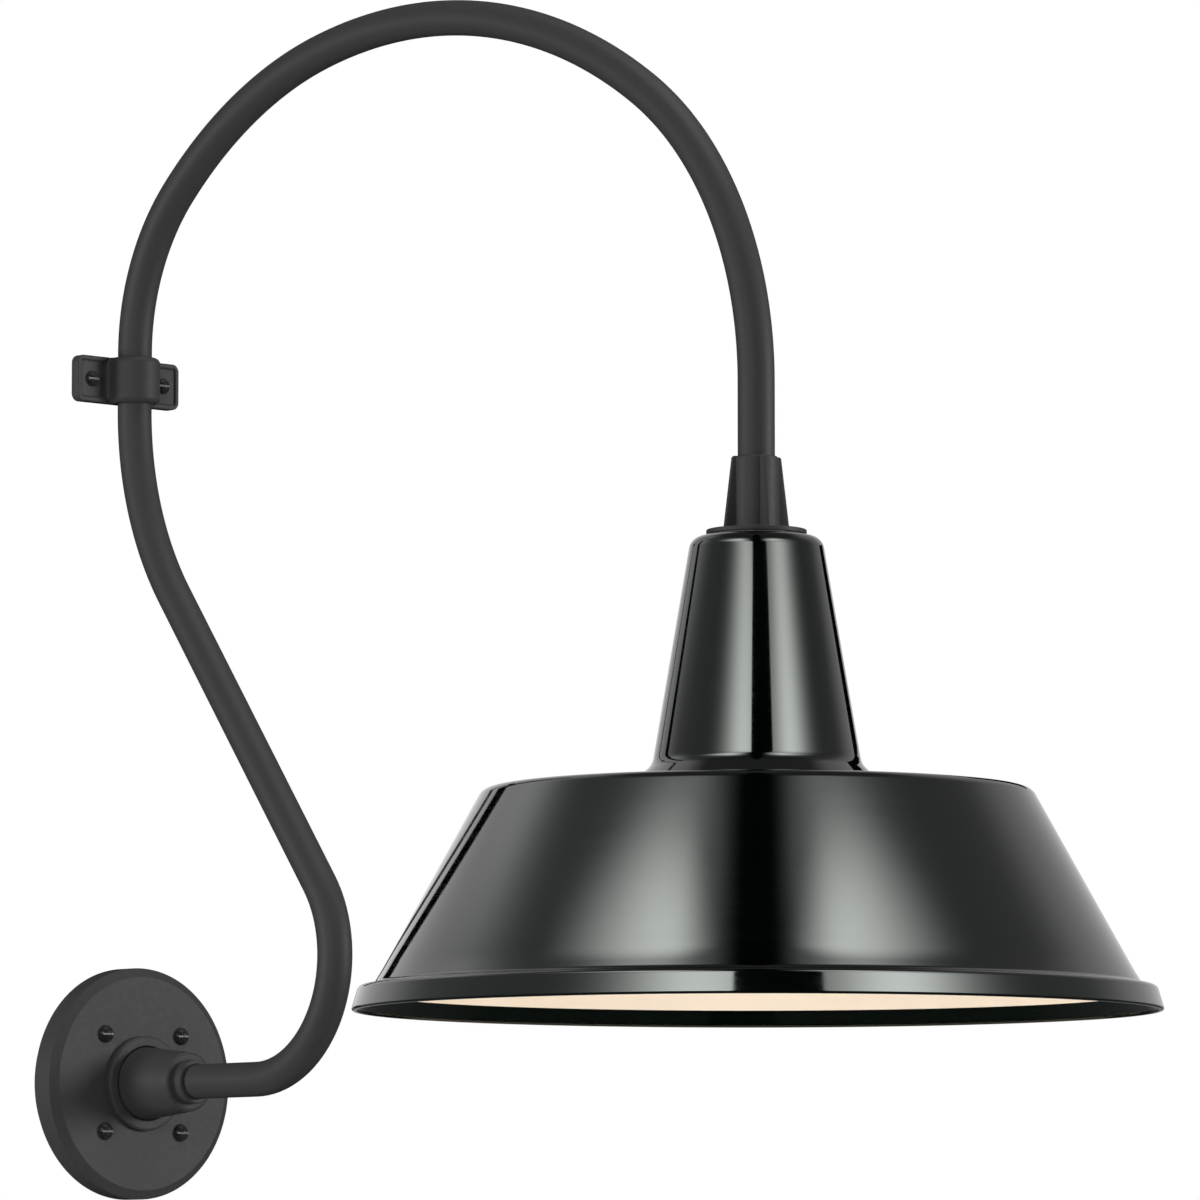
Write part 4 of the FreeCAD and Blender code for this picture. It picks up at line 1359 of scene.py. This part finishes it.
def ramp(value: Array, start: float | Array, length: float | Array) -> Array:
    """A smooth step 3s^2 - 2s^3, where s runs from 0 to 1 over a length from a start."""
    share = np.clip((value - start) / length, 0, 1)
    return share * share * (3 - 2 * share)


def between(ends: tuple[float | Array, float | Array], share: Array) -> Array:
    """The value at a share of the way from one end to the other."""
    return ends[0] + (ends[1] - ends[0]) * share


@dataclass(frozen=True)
class SoftBox:
    """One soft light on the tent, with each value given low on the tent and high on it.

    Azimuth runs from the camera's direction, to the right as the camera sees it. The widths are
    where the light has half of its power, toward the camera's direction and away from it. The
    light's upper edge is highest at its peak and rounds down to each side.
    """

    peak: Pair
    inner: Pair
    outer: Pair
    top: float = 44.6
    top_soft: Pair = (7.0, 8.0)
    top_left: float = 0.18
    sag: Pair = (1.8, 2.7)

    def glow(self, azimuth: Array, rise: Array, climb: Array) -> Array:
        """The light's share of its power.

        Across, it is 2^(-t^2), where t is the distance from the peak in half-power widths. Upward,
        it is multiplied by two smooth steps that start at the top's height less sag times t^2.

        Args:
            azimuth: Azimuths in degrees.
            rise: Elevations in degrees.
            climb: 0 low on the tent and 1 high on it.

        Returns:
            The share at each place.
        """
        peak, inner, outer = (between(ends, climb) for ends in (self.peak, self.inner, self.outer))
        toward = (azimuth - peak) * math.copysign(1, self.peak[0]) < 0
        across = (azimuth - peak) / np.where(toward, inner, outer)
        over = rise - self.top + np.where(toward, *self.sag) * across**2
        first, second = self.top_soft
        upper = (1 - (1 - self.top_left) * ramp(over, 0, first)) * (1 - ramp(over, first, second))
        return 2 ** -(across**2) * upper


@dataclass
class LightTent:
    """A white tent round the shade that only reflections see: two soft lights and a dark slit.

    The slit is where the camera looks in. The tent is pale at the sides and behind, dim overhead
    and dimmer under the shade. Two black strips paint dark reflections: they mirror in the shade as
    thin dark lines, the left one standing in for the arm's mirror image. Angles are in degrees, and
    a pair named as a ramp is where a smooth step starts and how long it is.
    """

    shade_out: float
    centre_height: float = 0.16
    radius: float = 0.98
    left: SoftBox = SoftBox((-15.7, -32.5), (17.4, 12.6), (15.6, 21.5))
    right: SoftBox = SoftBox((37.5, 31.4), (14.6, 13.4), (15.4, 20.8))
    climb_ramp: Pair = (29.5, 7.7)
    power_low: float = 12.1
    power_fall: float = 0.44
    power_level: float = 21.0
    power_range: Pair = (5.6, 13.0)
    power_high: float = 10.65
    power_ramp: Pair = (34.6, 6.2)
    foot_ramp: Pair = (3.0, 10.0)
    slit_middle: Pair = (5.7, -0.2)
    slit_half: Pair = (11.7, 5.3)
    slit_soft: Pair = (0.8, 11.9)
    pale: Pair = (0.47, 0.40)
    pale_behind: Pair = (1.0, 0.78)
    behind_ramp: Pair = (98.0, 26.0)
    patch_azimuth: Pair = (-108.0, 13.0)
    patch_rise: Pair = (31.0, 8.0)
    overhead: float = 0.2
    overhead_ramp: Pair = (50.0, 14.0)
    under: float = 0.12
    under_ramp: Pair = (-14.0, 14.0)
    across: int = 480
    up: int = 121
    strip_reach: float = 0.3
    strip_grid: tuple[int, int] = (24, 8)
    # Painted reflections: black strips round the shade's axis, by azimuth and height, that mirror in
    # the shade as dark lines.
    dark_reflection_strips: tuple[tuple[str, Pair, Pair], ...] = (
        ("painted_reflection_left", (-116.5, -110.0), (0.07, 0.46)),
        ("painted_reflection_right", (131.0, 149.0), (0.215, 0.36)),
    )

    def brightness(self, azimuth: Array, rise: Array) -> Array:
        """The tent's brightness at an azimuth and elevation, in degrees.

        The pale cloth has one value to each side of the camera, and another behind, with a bright
        patch. The two lights are added and fade out overhead, and the slit multiplies all by a
        smooth step at each of its edges.

        Args:
            azimuth: Azimuths from the camera's direction.
            rise: Elevations.

        Returns:
            The brightness, where 1 is the white of the surroundings.
        """
        sided, behind = (np.where(azimuth < 0, *pair) for pair in (self.pale, self.pale_behind))
        cloth = sided + (behind - sided) * ramp(np.abs(azimuth), *self.behind_ramp)
        patch = (
            (place - middle) / width
            for place, (middle, width) in ((azimuth, self.patch_azimuth), (rise, self.patch_rise))
        )
        cloth = cloth + 2 ** -sum(share**2 for share in patch)
        cloth = self.overhead + (cloth - self.overhead) * (1 - ramp(rise, *self.overhead_ramp))
        cloth = cloth * (1 - (1 - self.under) * (1 - ramp(rise, *self.under_ramp)))
        climb = ramp(rise, *self.climb_ramp)
        power = self.power_low - self.power_fall * (rise - self.power_level)
        powers = np.clip(power, *self.power_range), self.power_high
        power = between(powers, ramp(rise, *self.power_ramp)) * ramp(rise, *self.foot_ramp)
        boxes = (self.left, self.right)
        lights = power * sum(box.glow(azimuth, rise, climb) for box in boxes)
        slit = (self.slit_middle, self.slit_half, self.slit_soft)
        middle, half, soft = (between(ends, climb) for ends in slit)
        return (cloth + lights) * ramp(np.abs(azimuth - middle), half, soft)

    def build(self, camera: Camera, spared: list[Thing]) -> None:
        """Builds the tent as a sphere with its brightness as an attribute, and its two
        painted-reflection strips.

        Args:
            camera: The camera that the tent opens toward.
            spared: The pieces that the tent doesn't light.
        """
        toward = np.array([camera.place[0], camera.place[1] + self.shade_out, 0.0])
        toward /= np.linalg.norm(toward)
        middle = np.array([0.0, -self.shade_out, self.centre_height])
        rise = np.radians(np.linspace(-90, 90, self.up))[:, None]
        azimuth = np.radians(np.linspace(-180, 180, self.across, endpoint=False))[None, :]
        sphere = middle + self.radius * tent_direction(azimuth, rise, toward)
        tent = grid_object("studio_tent", sphere)
        here = np.zeros(len(tent.data.vertices) * 3, np.float32)
        tent.data.vertices.foreach_get("co", here)
        spot = (here.reshape(-1, 3) - middle) / self.radius
        turn = np.degrees(np.arctan2(spot @ rightward(toward), spot @ toward))
        glow = self.brightness(turn, np.degrees(np.arcsin(np.clip(spot[:, 2], -1, 1))))
        layer = tent.data.attributes.new("glow", "FLOAT", "POINT")
        layer.data.foreach_set("value", glow.astype(np.float32))
        cloth = plain_stage("studio tent", BLACK, 1.0)
        light = cloth.add("Attribute", {}, attribute_name="glow").outputs["Fac"]
        cloth.shade(Emission_Color=WHITE, Emission_Strength=light)
        tent.data.materials.append(cloth.material)
        hide_from_light(tent)
        spare(tent, spared)
        # Painted reflections: black strips that only mirror rays see, standing in for dark lines
        # such as the arm's mirror image.
        black = plain_stage("painted reflection black", BLACK, 1.0).material
        axis = np.array([0.0, -self.shade_out, 0.0])
        rows, columns = self.strip_grid
        for name, turns, levels in self.dark_reflection_strips:
            turn = np.radians(np.linspace(*turns, columns))[None, :]
            level = np.linspace(*levels, rows)[:, None]
            flat = self.strip_reach * tent_direction(turn, 0.0 * level, toward)
            dark_strip = grid_object(name, axis + flat + level[..., None] * UP, wrap_columns=False)
            dark_strip.data.materials.append(black)
            hide_from_light(dark_strip)


def plain_stage(name: str, colour: tuple[float, ...], roughness: float) -> Paint:
    """A matt material for the stage."""
    return Paint(name, Base_Color=colour, Roughness=roughness, Specular_IOR_Level=0.0)


def rightward(toward: Array) -> Array:
    """The level direction to the right, as the camera sees it."""
    return np.array([-toward[1], toward[0], 0.0])


def tent_direction(azimuth: Array, rise: Array, toward: Array) -> Array:
    """Unit directions cos e (cos a toward + sin a right) + sin e up, for azimuth a and elevation e.

    Args:
        azimuth: Azimuths in radians, to the right as the camera sees it.
        rise: Elevations in radians.
        toward: The level direction from the shade to the camera.

    Returns:
        The directions, with a last axis of three.
    """
    along = (np.cos(rise) * np.cos(azimuth))[..., None] * toward
    across = (np.cos(rise) * np.sin(azimuth))[..., None] * rightward(toward)
    return along + across + (np.sin(rise) + 0 * azimuth)[..., None] * UP


def hide_from_light(thing: Thing) -> None:
    """Stages an object that only mirror rays see: it hides, lights and shades nothing.

    Args:
        thing: The object.
    """
    thing.visible_camera = False
    thing.visible_diffuse = False
    thing.visible_transmission = False
    thing.visible_volume_scatter = False
    thing.visible_shadow = False


def spare(source: Thing, pieces: list[Thing]) -> None:
    """Keeps the light of a source off some pieces.

    Args:
        source: The lamp or glowing object.
        pieces: The pieces that it leaves unlit.
    """
    group = bpy.data.collections.new(f"{source.name} spares")
    for piece in pieces:
        group.objects.link(piece)
    for member in group.collection_objects:
        member.light_linking.link_state = "EXCLUDE"
    source.light_linking.receiver_collection = group


def finished(*finishes: Material) -> list[Thing]:
    """The scene's objects that have one of some finishes."""
    things = bpy.context.scene.objects
    return [thing for thing in things if any(s.material in finishes for s in thing.material_slots)]


@dataclass(frozen=True)
class AreaLamp:
    """A round area lamp. The mirror-bright pieces don't see it: the light tent lights those."""

    name: str
    place: Triple
    target: Triple
    size: float
    power: float
    spread: float = 180.0

    def build(self, mirrors: list[Thing]) -> None:
        """Makes the lamp and turns it to its target.

        Args:
            mirrors: The pieces that the lamp leaves unlit.
        """
        data = bpy.data.lights.new(self.name, "AREA")
        data.shape = "DISK"
        data.size = self.size
        data.energy = self.power
        data.spread = math.radians(self.spread)
        lamp = bpy.data.objects.new(self.name, data)
        lamp.location = self.place
        aim = Vector(self.target) - Vector(self.place)
        lamp.rotation_euler = aim.to_track_quat("-Z", "Y").to_euler()
        lamp.visible_camera = False
        bpy.context.scene.collection.objects.link(lamp)
        spare(lamp, mirrors)


@dataclass
class Studio:
    """White surroundings, a pale floor and the lamps."""

    shade_out: float
    ambient: float = 0.15
    floor_height: float = -0.42
    floor_radius: float = 3.4
    floor_colour: tuple[float, ...] = (0.86, 0.86, 0.86, 1.0)
    floor_roughness: float = 0.9
    floor_fade: Pair = (0.3, 0.98)
    floor_grid: tuple[int, int] = (12, 96)
    aim_height: float = 0.3
    side_lamps: tuple[tuple[str, Triple, float, float], ...] = (
        ("key lamp", (2.1, -2.9, 0.5), 1.2, 112.0),
        ("fill lamp", (-3.1, -1.4, 0.9), 1.2, 46.0),
        ("edge lamp", (-2.8, 1.1, 0.3), 1.0, 68.0),
    )
    top_lamp: AreaLamp = AreaLamp("top lamp", (0.3, -0.9, 3.2), (0.0, -0.5, 0.0), 2.4, 90.0)
    bowl_lift: float = 0.02
    bowl_aim: float = 0.1
    bowl_size: float = 0.26
    bowl_power: float = 0.2
    bowl_spread: float = 70.0

    def world(self) -> None:
        """White where the camera, a reflection or glass looks past the object, else plain."""
        world = bpy.data.worlds.new("studio white")
        bpy.context.scene.world = world
        world.use_nodes = True
        graph = Graph(world.node_tree)
        light = graph.tree.nodes["Background"]
        graph.feed(light.inputs["Strength"], self.ambient)
        graph.feed(light.inputs["Color"], WHITE)
        white = graph.add("Background", {"Color": WHITE})
        rays = graph.add("LightPath", {}).outputs
        seen = graph.math("MAXIMUM", rays["Is Camera Ray"], rays["Is Glossy Ray"])
        seen = graph.math("MAXIMUM", seen, rays["Is Transmission Ray"])
        mix = graph.add("MixShader", {"Fac": seen, 1: light.outputs[0], 2: white.outputs[0]})
        graph.feed(graph.tree.nodes["World Output"].inputs["Surface"], mix.outputs[0])

    def floor(self) -> None:
        """A round pale floor that fades out at its edge and is open from below."""
        rows, sides = self.floor_grid
        radius = np.linspace(0, self.floor_radius, rows)[:, None]
        points = upright(radius, circle(sides), self.floor_height, 0.0)
        floor = grid_object("studio_floor", points[::-1])
        normals = np.zeros(len(floor.data.polygons) * 3, np.float32)
        floor.data.polygons.foreach_get("normal", normals)
        if normals[2::3].mean() < 0:
            floor.data.flip_normals()
        paint = plain_stage("studio floor", self.floor_colour, self.floor_roughness)
        place = {0: paint.coordinates("Object")}
        far = paint.add("VectorMath", place, operation="LENGTH").outputs["Value"]
        reach = tuple(share * self.floor_radius for share in self.floor_fade)
        fade = paint.span(far, reach, interpolation_type="SMOOTHSTEP")
        below = paint.add("NewGeometry", {}).outputs["Backfacing"]
        clear = paint.add("BsdfTransparent", {}).outputs[0]
        shown = paint.shader.outputs[0]
        mix = {"Fac": paint.math("MAXIMUM", fade, below), 1: shown, 2: clear}
        surface = paint.tree.nodes["Material Output"].inputs["Surface"]
        paint.feed(surface, paint.add("MixShader", mix).outputs[0])
        floor.data.materials.append(paint.material)
        floor.visible_glossy = False

    def lamps(self, mirrors: list[Thing]) -> None:
        """Soft lamps to the right, to the left, behind and above, and a lamp under the bowl.

        Args:
            mirrors: The pieces that the lamps leave unlit.
        """
        middle = (0.0, -self.shade_out / 2, self.aim_height)
        for name, place, size, power in self.side_lamps:
            AreaLamp(name, place, middle, size, power).build(mirrors)
        self.top_lamp.build(mirrors)
        low = (0.0, -self.shade_out, self.floor_height + self.bowl_lift)
        high = (0.0, -self.shade_out, self.bowl_aim)
        values = self.bowl_size, self.bowl_power, self.bowl_spread
        AreaLamp("bowl lamp", low, high, *values).build(mirrors)


def main() -> None:
    """Loads the frame, builds the looks in order, and sets the studio and camera."""
    logging.basicConfig(level=logging.INFO, format="%(name)s %(message)s")
    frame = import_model()
    bpy.context.scene.view_settings.view_transform = "Standard"
    finishes = Finishes()
    arm = Arm()
    shade_out = arm.end_out()
    arm.build(finishes.powder)
    WallMount().build(finishes.powder, arm.tube_radius)
    ClampSaddle().build(finishes.powder)
    Fitter(shade_out).build(finishes.powder)
    Shade(shade_out).build(finishes.enamel, finishes.cream)
    lamp = Lamp(shade_out)
    lamp.build_base(finishes.lamp_metal)
    lamp.build_globe(finishes.glass)
    paint_carried_nodes(frame["nodes"], finishes)
    camera = Camera()
    camera.build()
    studio = Studio(shade_out)
    studio.world()
    studio.floor()
    studio.lamps(finished(finishes.enamel))
    LightTent(shade_out).build(camera, finished(finishes.powder, finishes.screw))


if __name__ == "__main__":
    main()
